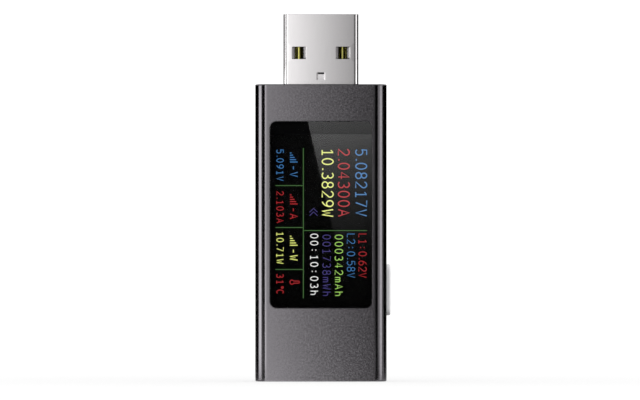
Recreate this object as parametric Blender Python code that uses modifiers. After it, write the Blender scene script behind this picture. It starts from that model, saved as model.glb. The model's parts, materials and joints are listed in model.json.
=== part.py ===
"""A USB power meter: a metal sleeve with a plug at its head, a socket at its foot, a colour display
behind a lens in the front and one push button in the right-hand side.

Metres, +Z up. The meter stands on its socket end with the display facing -Y. The origin is the middle of
the sleeve's foot.
"""

from math import pi

import bmesh
import bpy
from mathutils import Vector

# Clearances
SEAT_GAP = 0.00005
FIT_GAP = 0.0001

# Sleeve
CASE_WIDTH = 0.0210
CASE_LENGTH = 0.0475
CASE_WALL = 0.0012
CASE_EDGE_RADIUS = 0.0019
CASE_BORE_RADIUS = 0.0007
CASE_END_BREAK = 0.0002
RAIL_WIDTH = 0.0005
RAIL_DEPTH = 0.0006

# End caps
CAP_THICKNESS = 0.0018
CAP_RECESS = 0.0001

# Lens in the front wall
LENS_SIDE_MARGIN = 0.00235
LENS_FOOT_MARGIN = 0.01175
LENS_HEAD_MARGIN = 0.00595
LENS_THICKNESS = 0.0007
LENS_CORNER_RADIUS = 0.0011
LENS_RECESS = 0.00005
LENS_TAPE_THICKNESS = 0.0001
LEDGE_WIDTH = 0.0006
LEDGE_THICKNESS = 0.0003

# Display behind the lens
LCD_SIDE_GAP = 0.0005
LCD_FOOT_OVERLAP = 0.0005
LCD_HEAD_OVERLAP = 0.00075
LCD_GLASS_THICKNESS = 0.0007
LCD_BACKLIGHT_THICKNESS = 0.0008
LCD_PAD_THICKNESS = 0.0003
LCD_PAD_INSET = 0.0015
FLEX_WIDTH = 0.0080
FLEX_THICKNESS = 0.00012
FLEX_PAD_MARGIN = 0.0008
FLEX_BEND_START = 0.1
FLEX_BEND_END = 0.6
FLEX_STEPS = 16

# Circuit board
BOARD_THICKNESS = 0.0010
BOARD_END_GAP = 0.0002
BAY_GAP = 0.0005
CHIP_EDGE_MARGIN = 0.0004

# Packages on the board, each as width along X, length along Z and height off the board
CONTROLLER_SIZE = (0.0050, 0.0050, 0.0009)
METER_CHIP_SIZE = (0.0030, 0.0049, 0.0011)
REGULATOR_SIZE = (0.0045, 0.0025, 0.0015)
SHUNT_SIZE = (0.0050, 0.0025, 0.0006)
INDUCTOR_SIZE = (0.0040, 0.0040, 0.0021)
CRYSTAL_SIZE = (0.0025, 0.0032, 0.0007)
CAPACITOR_SIZE = (0.0016, 0.0032, 0.0014)
BOARD_ROWS = 3

# Plug at the head
PLUG_WIDTH = 0.0120
PLUG_HEIGHT = 0.0045
PLUG_WALL = 0.0003
PLUG_CORNER_RADIUS = 0.00065
PLUG_REACH = 0.01125
PLUG_INSIDE = 0.0075
PLUG_CAVITY_DEPTH = 0.0094
PLUG_TONGUE_RECESS = 0.0006
WINDOW_WIDTH = 0.0024
WINDOW_LENGTH = 0.0020
WINDOW_FROM_TIP = 0.0062
TAB_WIDTH = 0.00107
TAB_LENGTH = 0.0008
TAB_SINK = 0.00012
TAB_SLIT = 0.0003
TAB_FROM_TIP = 0.0094
LEG_WIDTH = 0.0015
LEG_THICKNESS = 0.0002
LEG_FROM_END = 0.0020

# Socket at the foot
SOCKET_MOUTH_WIDTH = 0.0125
SOCKET_MOUTH_HEIGHT = 0.0051
SOCKET_WALL = 0.0003
SOCKET_CORNER_RADIUS = 0.0005
SOCKET_LENGTH = 0.0119
SOCKET_ROOT_LENGTH = 0.0023
SOCKET_TONGUE_WIDTH = 0.0111
SOCKET_TONGUE_THICKNESS = 0.0018
SOCKET_TONGUE_RECESS = 0.0010
SOCKET_BACK_GAP = 0.0007

# Contact strips in plug and socket
CONTACT_WIDTH = 0.0012
CONTACT_THICKNESS = 0.00025
CONTACT_RISE = 0.0001
CONTACT_OUTER_X = 0.0035
CONTACT_INNER_X = 0.0010
CONTACT_OUTER_SETBACK = 0.0010
CONTACT_INNER_SETBACK = 0.0020
CONTACT_FACE_GAP = 0.0002
TAIL_GAP = 0.0001

# Side button and the switch behind it
BUTTON_LENGTH = 0.00825
BUTTON_WIDTH = 0.0026
BUTTON_CORNER_RADIUS = 0.0012
BUTTON_RISE = 0.00065
BUTTON_EDGE_BREAK = 0.0002
BUTTON_TRAVEL = 0.0003
FLANGE_THICKNESS = 0.0006
FLANGE_OVERLAP_Z = 0.0007
FLANGE_OVERLAP_Y = 0.0003
FLANGE_CLEARANCE = 0.00015
SWITCH_LENGTH = 0.0040
SWITCH_HEIGHT = 0.0034
SWITCH_DEPTH = 0.0030
SWITCH_SOCKET_GAP = 0.0003
SWITCH_COVER_THICKNESS = 0.0002
SWITCH_CHAMBER_WIDTH = 0.0026
COVER_STANDOFF = 0.0006
PLUNGER_STEM_LENGTH = 0.0018
PLUNGER_STEM_HEIGHT = 0.0012
PLUNGER_HEAD_WIDTH = 0.0022
PLUNGER_HEAD_THICKNESS = 0.0004
DOME_PRESSED_HEIGHT = 0.00015
DOME_RADIUS = 0.0012
DOME_SHEET = 0.00008

# Rounding
ROUND_SEGMENTS = 8
BREAK_SEGMENTS = 2
DOME_STEPS = 24
DOME_RINGS = 6
SHARP_ANGLE = 0.6
MERGE_DISTANCE = 0.000001

# How far a cutter runs past what it cuts
CUT_OVERRUN = 0.002

# Finishes: colour, roughness, metallic
ANODISED_METAL = ((0.115, 0.110, 0.118), 0.36, 1.0)
PLATED_STEEL = ((0.72, 0.70, 0.70), 0.28, 1.0)
GOLD_PLATE = ((0.83, 0.62, 0.25), 0.25, 1.0)
BLACK_PLASTIC = ((0.018, 0.018, 0.020), 0.50, 0.0)
PALE_PLASTIC = ((0.72, 0.72, 0.73), 0.40, 0.0)
CLEAR_BLACK = ((0.010, 0.010, 0.011), 0.05, 0.0)
BOARD_GREEN = ((0.015, 0.090, 0.040), 0.45, 0.0)
CHIP_BLACK = ((0.022, 0.022, 0.024), 0.55, 0.0)
WHITE_PLASTIC = ((0.65, 0.65, 0.66), 0.45, 0.0)
FERRITE_GREY = ((0.075, 0.075, 0.080), 0.60, 0.0)
CERAMIC_TAN = ((0.42, 0.31, 0.21), 0.50, 0.0)
FOAM_BLACK = ((0.020, 0.020, 0.020), 0.95, 0.0)
FLEX_AMBER = ((0.42, 0.20, 0.05), 0.40, 0.0)
CAN_METAL = ((0.62, 0.62, 0.62), 0.30, 1.0)

# The stack from front to back, which sets the sleeve's depth
LENS_POCKET_DEPTH = LENS_RECESS + LENS_THICKNESS + LENS_TAPE_THICKNESS + 2 * SEAT_GAP
CASE_FRONT_WALL = LENS_POCKET_DEPTH + LEDGE_THICKNESS
LCD_STACK = LCD_GLASS_THICKNESS + LCD_BACKLIGHT_THICKNESS + LCD_PAD_THICKNESS + 4 * SEAT_GAP
SOCKET_HEIGHT = SOCKET_MOUTH_HEIGHT + 2 * SOCKET_WALL
SOCKET_WIDTH = SOCKET_MOUTH_WIDTH + 2 * SOCKET_WALL
BORE_DEPTH = LCD_STACK + BOARD_THICKNESS + SEAT_GAP + SOCKET_HEIGHT + SOCKET_BACK_GAP
CASE_DEPTH = CASE_FRONT_WALL + BORE_DEPTH + CASE_WALL

# Planes across the depth, Y
CASE_FRONT = -CASE_DEPTH / 2
CASE_BACK = CASE_DEPTH / 2
BORE_FRONT = CASE_FRONT + CASE_FRONT_WALL
BORE_BACK = CASE_BACK - CASE_WALL
LENS_FRONT = CASE_FRONT + LENS_RECESS
LENS_BACK = LENS_FRONT + LENS_THICKNESS
TAPE_FRONT = LENS_BACK + SEAT_GAP
GLASS_FRONT = BORE_FRONT + SEAT_GAP
GLASS_BACK = GLASS_FRONT + LCD_GLASS_THICKNESS
BACKLIGHT_FRONT = GLASS_BACK + SEAT_GAP
BACKLIGHT_BACK = BACKLIGHT_FRONT + LCD_BACKLIGHT_THICKNESS
PAD_FRONT = BACKLIGHT_BACK + SEAT_GAP
BOARD_FRONT = BORE_FRONT + LCD_STACK
BOARD_BACK = BOARD_FRONT + BOARD_THICKNESS
BOARD_SEAT = BOARD_BACK + SEAT_GAP
CONNECTOR_Y = BOARD_SEAT + SOCKET_HEIGHT / 2
SWITCH_Y = BOARD_SEAT + SWITCH_HEIGHT / 2

# Places across the width, X
BORE_HALF = CASE_WIDTH / 2 - CASE_WALL
BOARD_HALF = BORE_HALF - FIT_GAP
LCD_HALF = BORE_HALF - LCD_SIDE_GAP
LENS_HALF = CASE_WIDTH / 2 - LENS_SIDE_MARGIN
FLANGE_OUT = BORE_HALF - FIT_GAP
FLANGE_IN = FLANGE_OUT - FLANGE_THICKNESS
PACKAGE_EDGE = min(BORE_HALF - RAIL_WIDTH, FLANGE_IN - BUTTON_TRAVEL) - CHIP_EDGE_MARGIN
PLUNGER_TIP = FLANGE_IN - SEAT_GAP
COVER_OUT = PLUNGER_TIP - BUTTON_TRAVEL - COVER_STANDOFF
COVER_IN = COVER_OUT - SWITCH_COVER_THICKNESS
HEAD_OUT = COVER_IN - SEAT_GAP
HEAD_IN = HEAD_OUT - PLUNGER_HEAD_THICKNESS
DOME_HEIGHT = BUTTON_TRAVEL + DOME_PRESSED_HEIGHT
DOME_FOOT = HEAD_IN - SEAT_GAP - DOME_HEIGHT
CHAMBER_FLOOR = DOME_FOOT - SEAT_GAP
SWITCH_BACK = COVER_OUT - SWITCH_DEPTH

# Heights, Z
CAP_FOOT_TOP = CAP_RECESS + CAP_THICKNESS
CAP_HEAD_FOOT = CASE_LENGTH - CAP_RECESS - CAP_THICKNESS
LENS_FOOT = LENS_FOOT_MARGIN
LENS_HEAD = CASE_LENGTH - LENS_HEAD_MARGIN
LCD_FOOT = LENS_FOOT - LCD_FOOT_OVERLAP
LCD_HEAD = LENS_HEAD + LCD_HEAD_OVERLAP
BOARD_FOOT = CAP_FOOT_TOP + BOARD_END_GAP
BOARD_HEAD = CAP_HEAD_FOOT - BOARD_END_GAP
PLUG_TIP = CASE_LENGTH + PLUG_REACH
PLUG_REAR = CASE_LENGTH - PLUG_INSIDE
SOCKET_MOUTH = CAP_RECESS
SOCKET_REAR = SOCKET_MOUTH + SOCKET_LENGTH
SOCKET_ROOT = SOCKET_REAR - SOCKET_ROOT_LENGTH
TAIL_REACH = TAIL_GAP + CONTACT_THICKNESS
SWITCH_FOOT = SOCKET_REAR + TAIL_REACH + SWITCH_SOCKET_GAP
SWITCH_HEAD = SWITCH_FOOT + SWITCH_LENGTH
BUTTON_Z = SWITCH_FOOT + SWITCH_LENGTH / 2
BAY_FOOT = SWITCH_HEAD + BAY_GAP
BAY_HEAD = PLUG_REAR - TAIL_REACH - BAY_GAP

for old_object in list(bpy.data.objects):
    bpy.data.objects.remove(old_object, do_unlink=True)


def new_collection(name):
    """A collection under the scene's own."""
    made = bpy.data.collections.new(name)
    bpy.context.scene.collection.children.link(made)
    return made


PARTS = new_collection("usb_power_meter")
CUTTERS = new_collection("usb_power_meter_cutters")


def new_empty(name, place, parent=None):
    """An empty that carries parts, at a place in the world."""
    empty = bpy.data.objects.new(name, None)
    empty.empty_display_size = CASE_WIDTH / 4
    PARTS.objects.link(empty)
    empty.parent = parent
    empty.location = place
    return empty


METER = new_empty("meter_origin", (0.0, 0.0, 0.0))
BUTTON_AXIS = new_empty("button_axis", (FLANGE_OUT, SWITCH_Y, BUTTON_Z), METER)


def set_in(group, thing, centre, parent=METER):
    """Put an object in a collection, its origin at a place in the world, carried by an empty."""
    group.objects.link(thing)
    thing.parent = parent
    thing.location = Vector(centre) - parent.location
    return thing


def dress(thing, finish):
    """Give an object a material of its own."""
    colour, roughness, metallic = finish
    material = bpy.data.materials.new(thing.name + "_finish")
    material.use_nodes = True
    shader = material.node_tree.nodes["Principled BSDF"]
    shader.inputs["Base Color"].default_value = (*colour, 1.0)
    shader.inputs["Roughness"].default_value = roughness
    shader.inputs["Metallic"].default_value = metallic
    thing.data.materials.append(material)
    return thing


def hide_tool(thing):
    """Mark an object as a cutter, which is not a part."""
    thing.hide_render = True
    thing.display_type = "WIRE"
    return thing


def rounded_block(name, size, axis, radius, end_break):
    """A box about its centre, rounded on its four edges along one axis, with both end rims broken."""
    shape = bmesh.new()
    bmesh.ops.create_cube(shape, size=1.0)
    bmesh.ops.scale(shape, vec=size, verts=shape.verts)
    if radius:
        long_edges = [e for e in shape.edges if e.verts[0].co[axis] * e.verts[1].co[axis] < 0]
        bmesh.ops.bevel(
            shape, geom=long_edges, offset=radius, segments=ROUND_SEGMENTS, profile=0.5, affect="EDGES"
        )
    if end_break:
        rims = [e for e in shape.edges if e.verts[0].co[axis] * e.verts[1].co[axis] > 0]
        bmesh.ops.bevel(
            shape, geom=rims, offset=end_break, segments=BREAK_SEGMENTS, profile=0.5, affect="EDGES"
        )
    mesh = bpy.data.meshes.new(name)
    shape.to_mesh(mesh)
    shape.free()
    mesh.shade_smooth()
    mesh.set_sharp_from_angle(angle=SHARP_ANGLE)
    return mesh


def block(group, name, low, high, axis=2, radius=0.0, end_break=0.0, parent=METER):
    """A rounded block that fills the space between two corners."""
    low = Vector(low)
    high = Vector(high)
    mesh = rounded_block(name, high - low, axis, radius, end_break)
    return set_in(group, bpy.data.objects.new(name, mesh), (low + high) / 2, parent)


def part(name, low, high, finish, **shape):
    """A part that starts as a rounded block between two corners."""
    return dress(block(PARTS, name, low, high, **shape), finish)


def tool(name, low, high, **shape):
    """A cutter, or a piece to be joined, that is a rounded block between two corners."""
    return hide_tool(block(CUTTERS, name, low, high, **shape))


def combine(target, other, operation):
    """Cut another object out of a part, or join it on."""
    modifier = target.modifiers.new(other.name, "BOOLEAN")
    modifier.operation = operation
    modifier.object = other
    return target


def cut(target, *others):
    """Cut objects out of a part."""
    for other in others:
        combine(target, other, "DIFFERENCE")
    return target


def join(target, *others):
    """Join objects on to a part."""
    for other in others:
        combine(target, other, "UNION")
    return target


def strip(name, outline, width, x, finish):
    """A strip of sheet: a closed outline of (y, z) points carried along X."""
    curve = bpy.data.curves.new(name, "CURVE")
    curve.dimensions = "2D"
    curve.fill_mode = "BOTH"
    curve.extrude = width / 2
    spline = curve.splines.new("POLY")
    spline.points.add(len(outline) - 1)
    start_y, start_z = outline[0]
    for point, (y, z) in zip(spline.points, outline):
        point.co = (y - start_y, z - start_z, 0.0, 1.0)
    spline.use_cyclic_u = True
    thing = bpy.data.objects.new(name, curve)
    thing.rotation_euler = (pi / 2, 0.0, pi / 2)
    return dress(set_in(PARTS, thing, (x, start_y, start_z)), finish)


def rail(side):
    """The rib inside one side of the sleeve, between the end caps, that backs the board."""
    inner = side * (BORE_HALF - RAIL_WIDTH)
    outer = side * (BORE_HALF + CASE_WALL / 2)
    return tool(
        "rail_right" if side > 0 else "rail_left",
        (min(inner, outer), BOARD_SEAT, BOARD_FOOT),
        (max(inner, outer), BOARD_SEAT + RAIL_DEPTH, BOARD_HEAD),
    )


def make_case_tube():
    """The extruded sleeve: its bore and board rails, the stepped lens window and the button slot."""
    half = CASE_WIDTH / 2
    sleeve = part(
        "case_tube",
        (-half, CASE_FRONT, 0.0),
        (half, CASE_BACK, CASE_LENGTH),
        ANODISED_METAL,
        radius=CASE_EDGE_RADIUS,
        end_break=CASE_END_BREAK,
    )
    foot = -CUT_OVERRUN
    head = CASE_LENGTH + CUT_OVERRUN
    bore = tool(
        "case_bore", (-BORE_HALF, BORE_FRONT, foot), (BORE_HALF, BORE_BACK, head), radius=CASE_BORE_RADIUS
    )
    cut(bore, rail(-1), rail(1))
    pocket_half = LENS_HALF + FIT_GAP
    pocket = tool(
        "lens_pocket",
        (-pocket_half, CASE_FRONT - CUT_OVERRUN, LENS_FOOT - FIT_GAP),
        (pocket_half, CASE_FRONT + LENS_POCKET_DEPTH, LENS_HEAD + FIT_GAP),
        axis=1,
        radius=LENS_CORNER_RADIUS + FIT_GAP,
    )
    view_half = LENS_HALF - LEDGE_WIDTH
    view = tool(
        "lens_view",
        (-view_half, CASE_FRONT - CUT_OVERRUN, LENS_FOOT + LEDGE_WIDTH),
        (view_half, BORE_FRONT + SEAT_GAP, LENS_HEAD - LEDGE_WIDTH),
        axis=1,
        radius=LENS_CORNER_RADIUS,
    )
    slot_y = BUTTON_WIDTH / 2 + FIT_GAP
    slot_z = BUTTON_LENGTH / 2 + FIT_GAP
    slot = tool(
        "button_slot",
        (BORE_HALF - CASE_WALL / 2, SWITCH_Y - slot_y, BUTTON_Z - slot_z),
        (half + CUT_OVERRUN, SWITCH_Y + slot_y, BUTTON_Z + slot_z),
        axis=0,
        radius=BUTTON_CORNER_RADIUS + FIT_GAP,
    )
    relief_z = BUTTON_LENGTH / 2 + FLANGE_OVERLAP_Z + FLANGE_CLEARANCE
    relief = tool(
        "rail_relief",
        (BORE_HALF - RAIL_WIDTH - FIT_GAP, BOARD_BACK, BUTTON_Z - relief_z),
        (BORE_HALF, BOARD_SEAT + RAIL_DEPTH + FIT_GAP, BUTTON_Z + relief_z),
    )
    cut(sleeve, bore, pocket, view, slot, relief)


def make_end_cap(name, foot, head, opening_half_x, opening_half_y, opening_radius):
    """A plate that closes one end of the sleeve round a connector."""
    cap = part(
        name,
        (-BORE_HALF + SEAT_GAP, BORE_FRONT + SEAT_GAP, foot),
        (BORE_HALF - SEAT_GAP, BORE_BACK - SEAT_GAP, head),
        BLACK_PLASTIC,
        radius=CASE_BORE_RADIUS,
    )
    opening = tool(
        name + "_opening",
        (-opening_half_x - FIT_GAP, CONNECTOR_Y - opening_half_y - FIT_GAP, foot - CUT_OVERRUN),
        (opening_half_x + FIT_GAP, CONNECTOR_Y + opening_half_y + FIT_GAP, head + CUT_OVERRUN),
        radius=opening_radius + FIT_GAP,
    )
    cut(cap, opening)


def make_lens():
    """The lens in its pocket, and the ring of adhesive tape that holds it to the ledge."""
    part(
        "display_lens",
        (-LENS_HALF, LENS_FRONT, LENS_FOOT),
        (LENS_HALF, LENS_BACK, LENS_HEAD),
        CLEAR_BLACK,
        axis=1,
        radius=LENS_CORNER_RADIUS,
    )
    tape = part(
        "lens_tape",
        (-LENS_HALF, TAPE_FRONT, LENS_FOOT),
        (LENS_HALF, TAPE_FRONT + LENS_TAPE_THICKNESS, LENS_HEAD),
        FOAM_BLACK,
        axis=1,
        radius=LENS_CORNER_RADIUS,
    )
    view_half = LENS_HALF - LEDGE_WIDTH
    tape_view = tool(
        "tape_view",
        (-view_half, TAPE_FRONT - CUT_OVERRUN, LENS_FOOT + LEDGE_WIDTH),
        (view_half, TAPE_FRONT + CUT_OVERRUN, LENS_HEAD - LEDGE_WIDTH),
        axis=1,
        radius=LENS_CORNER_RADIUS,
    )
    cut(tape, tape_view)


def flex_outline():
    """The ribbon's edge-on outline: a smooth step from the glass back to the board, given thickness."""
    start = Vector(((GLASS_FRONT + GLASS_BACK) / 2, LCD_HEAD + SEAT_GAP))
    end = Vector((BOARD_FRONT - SEAT_GAP - FLEX_THICKNESS / 2, BOARD_HEAD - FLEX_PAD_MARGIN))
    near_side = []
    far_side = []
    for step in range(FLEX_STEPS + 1):
        along = step / FLEX_STEPS
        bend = (along - FLEX_BEND_START) / (FLEX_BEND_END - FLEX_BEND_START)
        bend = min(max(bend, 0.0), 1.0)
        rise = bend * bend * (3 - 2 * bend)
        slope = 6 * bend * (1 - bend) / (FLEX_BEND_END - FLEX_BEND_START)
        middle = Vector((start.x + (end.x - start.x) * rise, start.y + (end.y - start.y) * along))
        travel = Vector(((end.x - start.x) * slope, end.y - start.y)).normalized()
        offset = Vector((-travel.y, travel.x)) * FLEX_THICKNESS / 2
        near_side.append(tuple(middle + offset))
        far_side.append(tuple(middle - offset))
    return near_side + far_side[::-1]


def make_display():
    """The display: glass, light box and mounting pad in a stack, and the ribbon to the board."""
    part(
        "lcd_glass",
        (-LCD_HALF, GLASS_FRONT, LCD_FOOT),
        (LCD_HALF, GLASS_BACK, LCD_HEAD),
        CLEAR_BLACK,
    )
    part(
        "lcd_backlight",
        (-LCD_HALF, BACKLIGHT_FRONT, LCD_FOOT),
        (LCD_HALF, BACKLIGHT_BACK, LCD_HEAD),
        WHITE_PLASTIC,
    )
    pad_half = LCD_HALF - LCD_PAD_INSET
    part(
        "lcd_foam_tape",
        (-pad_half, PAD_FRONT, LCD_FOOT + LCD_PAD_INSET),
        (pad_half, PAD_FRONT + LCD_PAD_THICKNESS, LCD_HEAD - LCD_PAD_INSET),
        FOAM_BLACK,
    )
    strip("lcd_flex", flex_outline(), FLEX_WIDTH, 0.0, FLEX_AMBER)


def make_package(name, size, finish, row, column):
    """A package on the back of the board: column 0 is in the middle, and -1 or 1 is by an edge, clear of the
    rail and of the pressed button's flange.
    """
    width, length, height = size
    x = column * (PACKAGE_EDGE - width / 2)
    z = BAY_FOOT + (row + 0.5) * (BAY_HEAD - BAY_FOOT) / BOARD_ROWS
    part(
        name,
        (x - width / 2, BOARD_SEAT, z - length / 2),
        (x + width / 2, BOARD_SEAT + height, z + length / 2),
        finish,
    )


def make_board():
    """The circuit board, and the packages in three rows between the switch and the plug."""
    part(
        "main_board",
        (-BOARD_HALF, BOARD_FRONT, BOARD_FOOT),
        (BOARD_HALF, BOARD_BACK, BOARD_HEAD),
        BOARD_GREEN,
    )
    make_package("output_capacitor", CAPACITOR_SIZE, CERAMIC_TAN, 0, -1)
    make_package("voltage_regulator", REGULATOR_SIZE, CHIP_BLACK, 0, 0)
    make_package("power_inductor", INDUCTOR_SIZE, FERRITE_GREY, 0, 1)
    make_package("clock_crystal", CRYSTAL_SIZE, CAN_METAL, 1, -1)
    make_package("controller_chip", CONTROLLER_SIZE, CHIP_BLACK, 1, 0)
    make_package("input_capacitor", CAPACITOR_SIZE, CERAMIC_TAN, 2, -1)
    make_package("meter_chip", METER_CHIP_SIZE, CHIP_BLACK, 2, 0)
    make_package("shunt_resistor", SHUNT_SIZE, CHIP_BLACK, 2, 1)


def contact_outline(face, tip, rear, heading):
    """A contact's edge-on outline: along the tongue, out past the rear, then down to the board."""
    front = face - CONTACT_THICKNESS / 2
    back = face + CONTACT_THICKNESS / 2
    bend = rear - heading * TAIL_GAP
    end = bend - heading * CONTACT_THICKNESS
    return [(back, tip), (back, end), (BOARD_SEAT, end), (BOARD_SEAT, bend), (front, bend), (front, tip)]


def make_contacts(kind, insulator, face, tongue_end, rear, heading):
    """The four strips of a connector, each in a groove that is cut along its insulator."""
    rows = (
        ("power", -CONTACT_OUTER_X, CONTACT_OUTER_SETBACK),
        ("data_minus", -CONTACT_INNER_X, CONTACT_INNER_SETBACK),
        ("data_plus", CONTACT_INNER_X, CONTACT_INNER_SETBACK),
        ("ground", CONTACT_OUTER_X, CONTACT_OUTER_SETBACK),
    )
    for role, x, setback in rows:
        tip = tongue_end - heading * setback
        name = f"{kind}_contact_{role}"
        strip(name, contact_outline(face, tip, rear, heading), CONTACT_WIDTH, x, GOLD_PLATE)
        groove_half = CONTACT_WIDTH / 2 + SEAT_GAP
        ends = sorted((tip + heading * SEAT_GAP, rear - heading * CUT_OVERRUN))
        groove = tool(
            name + "_groove",
            (x - groove_half, face - CONTACT_THICKNESS / 2 - SEAT_GAP, ends[0]),
            (x + groove_half, face + CONTACT_THICKNESS / 2 + SEAT_GAP, ends[1]),
        )
        cut(insulator, groove)


def make_plug_shell():
    """The plug's folded shell: open at both ends, with windows, a pressed tab and legs to the board."""
    half = PLUG_WIDTH / 2
    front = CONNECTOR_Y - PLUG_HEIGHT / 2
    back = CONNECTOR_Y + PLUG_HEIGHT / 2
    shell = part(
        "plug_shell",
        (-half, front, PLUG_REAR),
        (half, back, PLUG_TIP),
        PLATED_STEEL,
        radius=PLUG_CORNER_RADIUS,
    )
    for side in (-1, 1):
        middle = side * (half - PLUG_WALL / 2)
        leg_foot = PLUG_REAR + LEG_FROM_END
        leg = tool(
            f"plug_leg_{side + 1}",
            (middle - LEG_THICKNESS / 2, BOARD_SEAT, leg_foot),
            (middle + LEG_THICKNESS / 2, CONNECTOR_Y, leg_foot + LEG_WIDTH),
        )
        join(shell, leg)
    slit_head = PLUG_TIP - TAB_FROM_TIP
    slit_foot = slit_head - TAB_SLIT
    dent = tool(
        "plug_tab_dent",
        (-TAB_WIDTH / 2, front - CUT_OVERRUN, slit_foot - TAB_LENGTH),
        (TAB_WIDTH / 2, front + TAB_SINK, slit_foot + SEAT_GAP),
    )
    slit = tool(
        "plug_slit",
        (-TAB_WIDTH / 2 - SEAT_GAP, front - CUT_OVERRUN, slit_foot),
        (TAB_WIDTH / 2 + SEAT_GAP, front + PLUG_WALL + SEAT_GAP, slit_head),
    )
    inner_half = half - PLUG_WALL
    hollow = tool(
        "plug_hollow",
        (-inner_half, front + PLUG_WALL, PLUG_REAR - CUT_OVERRUN),
        (inner_half, back - PLUG_WALL, PLUG_TIP + CUT_OVERRUN),
        radius=PLUG_CORNER_RADIUS - PLUG_WALL,
    )
    cut(shell, hollow, slit, dent)
    for side in (-1, 1):
        x = side * CONTACT_OUTER_X
        z = PLUG_TIP - WINDOW_FROM_TIP
        window = tool(
            f"plug_window_{side + 1}",
            (x - WINDOW_WIDTH / 2, front - CUT_OVERRUN, z - WINDOW_LENGTH / 2),
            (x + WINDOW_WIDTH / 2, back + CUT_OVERRUN, z + WINDOW_LENGTH / 2),
        )
        cut(shell, window)


def make_plug_insulator():
    """The plug's plastic core: a root that fills the shell, and a tongue along its back half."""
    half = PLUG_WIDTH / 2 - PLUG_WALL - SEAT_GAP
    depth = PLUG_HEIGHT / 2 - PLUG_WALL - SEAT_GAP
    tongue_end = PLUG_TIP - PLUG_TONGUE_RECESS
    rear = PLUG_REAR
    core = part(
        "plug_insulator",
        (-half, CONNECTOR_Y - depth, rear),
        (half, CONNECTOR_Y + depth, tongue_end),
        BLACK_PLASTIC,
        radius=PLUG_CORNER_RADIUS - PLUG_WALL,
    )
    tongue_face = CONNECTOR_Y + CONTACT_FACE_GAP
    cavity = tool(
        "plug_cavity",
        (-half - CUT_OVERRUN, CONNECTOR_Y - depth - CUT_OVERRUN, PLUG_TIP - PLUG_CAVITY_DEPTH),
        (half + CUT_OVERRUN, tongue_face, tongue_end + CUT_OVERRUN),
    )
    cut(core, cavity)
    strip_middle = tongue_face - CONTACT_RISE + CONTACT_THICKNESS / 2
    make_contacts("plug", core, strip_middle, tongue_end, rear, 1)


def make_socket_shell():
    """The socket's shell: a tube of sheet, open at the mouth and at the rear."""
    outer = SOCKET_WIDTH / 2
    inner = SOCKET_MOUTH_WIDTH / 2
    shell = part(
        "socket_shell",
        (-outer, CONNECTOR_Y - SOCKET_HEIGHT / 2, SOCKET_MOUTH),
        (outer, CONNECTOR_Y + SOCKET_HEIGHT / 2, SOCKET_REAR),
        PLATED_STEEL,
        radius=SOCKET_CORNER_RADIUS + SOCKET_WALL,
    )
    hollow = tool(
        "socket_hollow",
        (-inner, CONNECTOR_Y - SOCKET_MOUTH_HEIGHT / 2, SOCKET_MOUTH - CUT_OVERRUN),
        (inner, CONNECTOR_Y + SOCKET_MOUTH_HEIGHT / 2, SOCKET_REAR + CUT_OVERRUN),
        radius=SOCKET_CORNER_RADIUS,
    )
    cut(shell, hollow)


def make_socket_insulator():
    """The socket's plastic core: a root that fills the shell's rear, and a tongue towards the mouth."""
    half = SOCKET_MOUTH_WIDTH / 2 - SEAT_GAP
    depth = SOCKET_MOUTH_HEIGHT / 2 - SEAT_GAP
    core = part(
        "socket_insulator",
        (-half, CONNECTOR_Y - depth, SOCKET_ROOT),
        (half, CONNECTOR_Y + depth, SOCKET_REAR),
        BLACK_PLASTIC,
        radius=SOCKET_CORNER_RADIUS,
    )
    tongue_face = CONNECTOR_Y - CONTACT_FACE_GAP
    tongue_end = SOCKET_MOUTH + SOCKET_TONGUE_RECESS
    tongue = tool(
        "socket_tongue",
        (-SOCKET_TONGUE_WIDTH / 2, tongue_face - SOCKET_TONGUE_THICKNESS, tongue_end),
        (SOCKET_TONGUE_WIDTH / 2, tongue_face, SOCKET_ROOT + SOCKET_ROOT_LENGTH / 2),
    )
    join(core, tongue)
    strip_middle = tongue_face + CONTACT_RISE - CONTACT_THICKNESS / 2
    make_contacts("socket", core, strip_middle, tongue_end, SOCKET_REAR, -1)


def make_button():
    """The side button: a bar that stands out of its slot, with a flange behind the wall to keep it in."""
    half_y = BUTTON_WIDTH / 2
    half_z = BUTTON_LENGTH / 2
    bar = part(
        "side_button",
        (FLANGE_OUT - FLANGE_THICKNESS / 2, SWITCH_Y - half_y, BUTTON_Z - half_z),
        (CASE_WIDTH / 2 + BUTTON_RISE, SWITCH_Y + half_y, BUTTON_Z + half_z),
        PALE_PLASTIC,
        axis=0,
        radius=BUTTON_CORNER_RADIUS,
        end_break=BUTTON_EDGE_BREAK,
        parent=BUTTON_AXIS,
    )
    flange_y = half_y + FLANGE_OVERLAP_Y
    flange_z = half_z + FLANGE_OVERLAP_Z
    flange = tool(
        "button_flange",
        (FLANGE_IN, SWITCH_Y - flange_y, BUTTON_Z - flange_z),
        (FLANGE_OUT, SWITCH_Y + flange_y, BUTTON_Z + flange_z),
        axis=0,
        radius=BUTTON_CORNER_RADIUS,
        parent=BUTTON_AXIS,
    )
    join(bar, flange)


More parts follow.
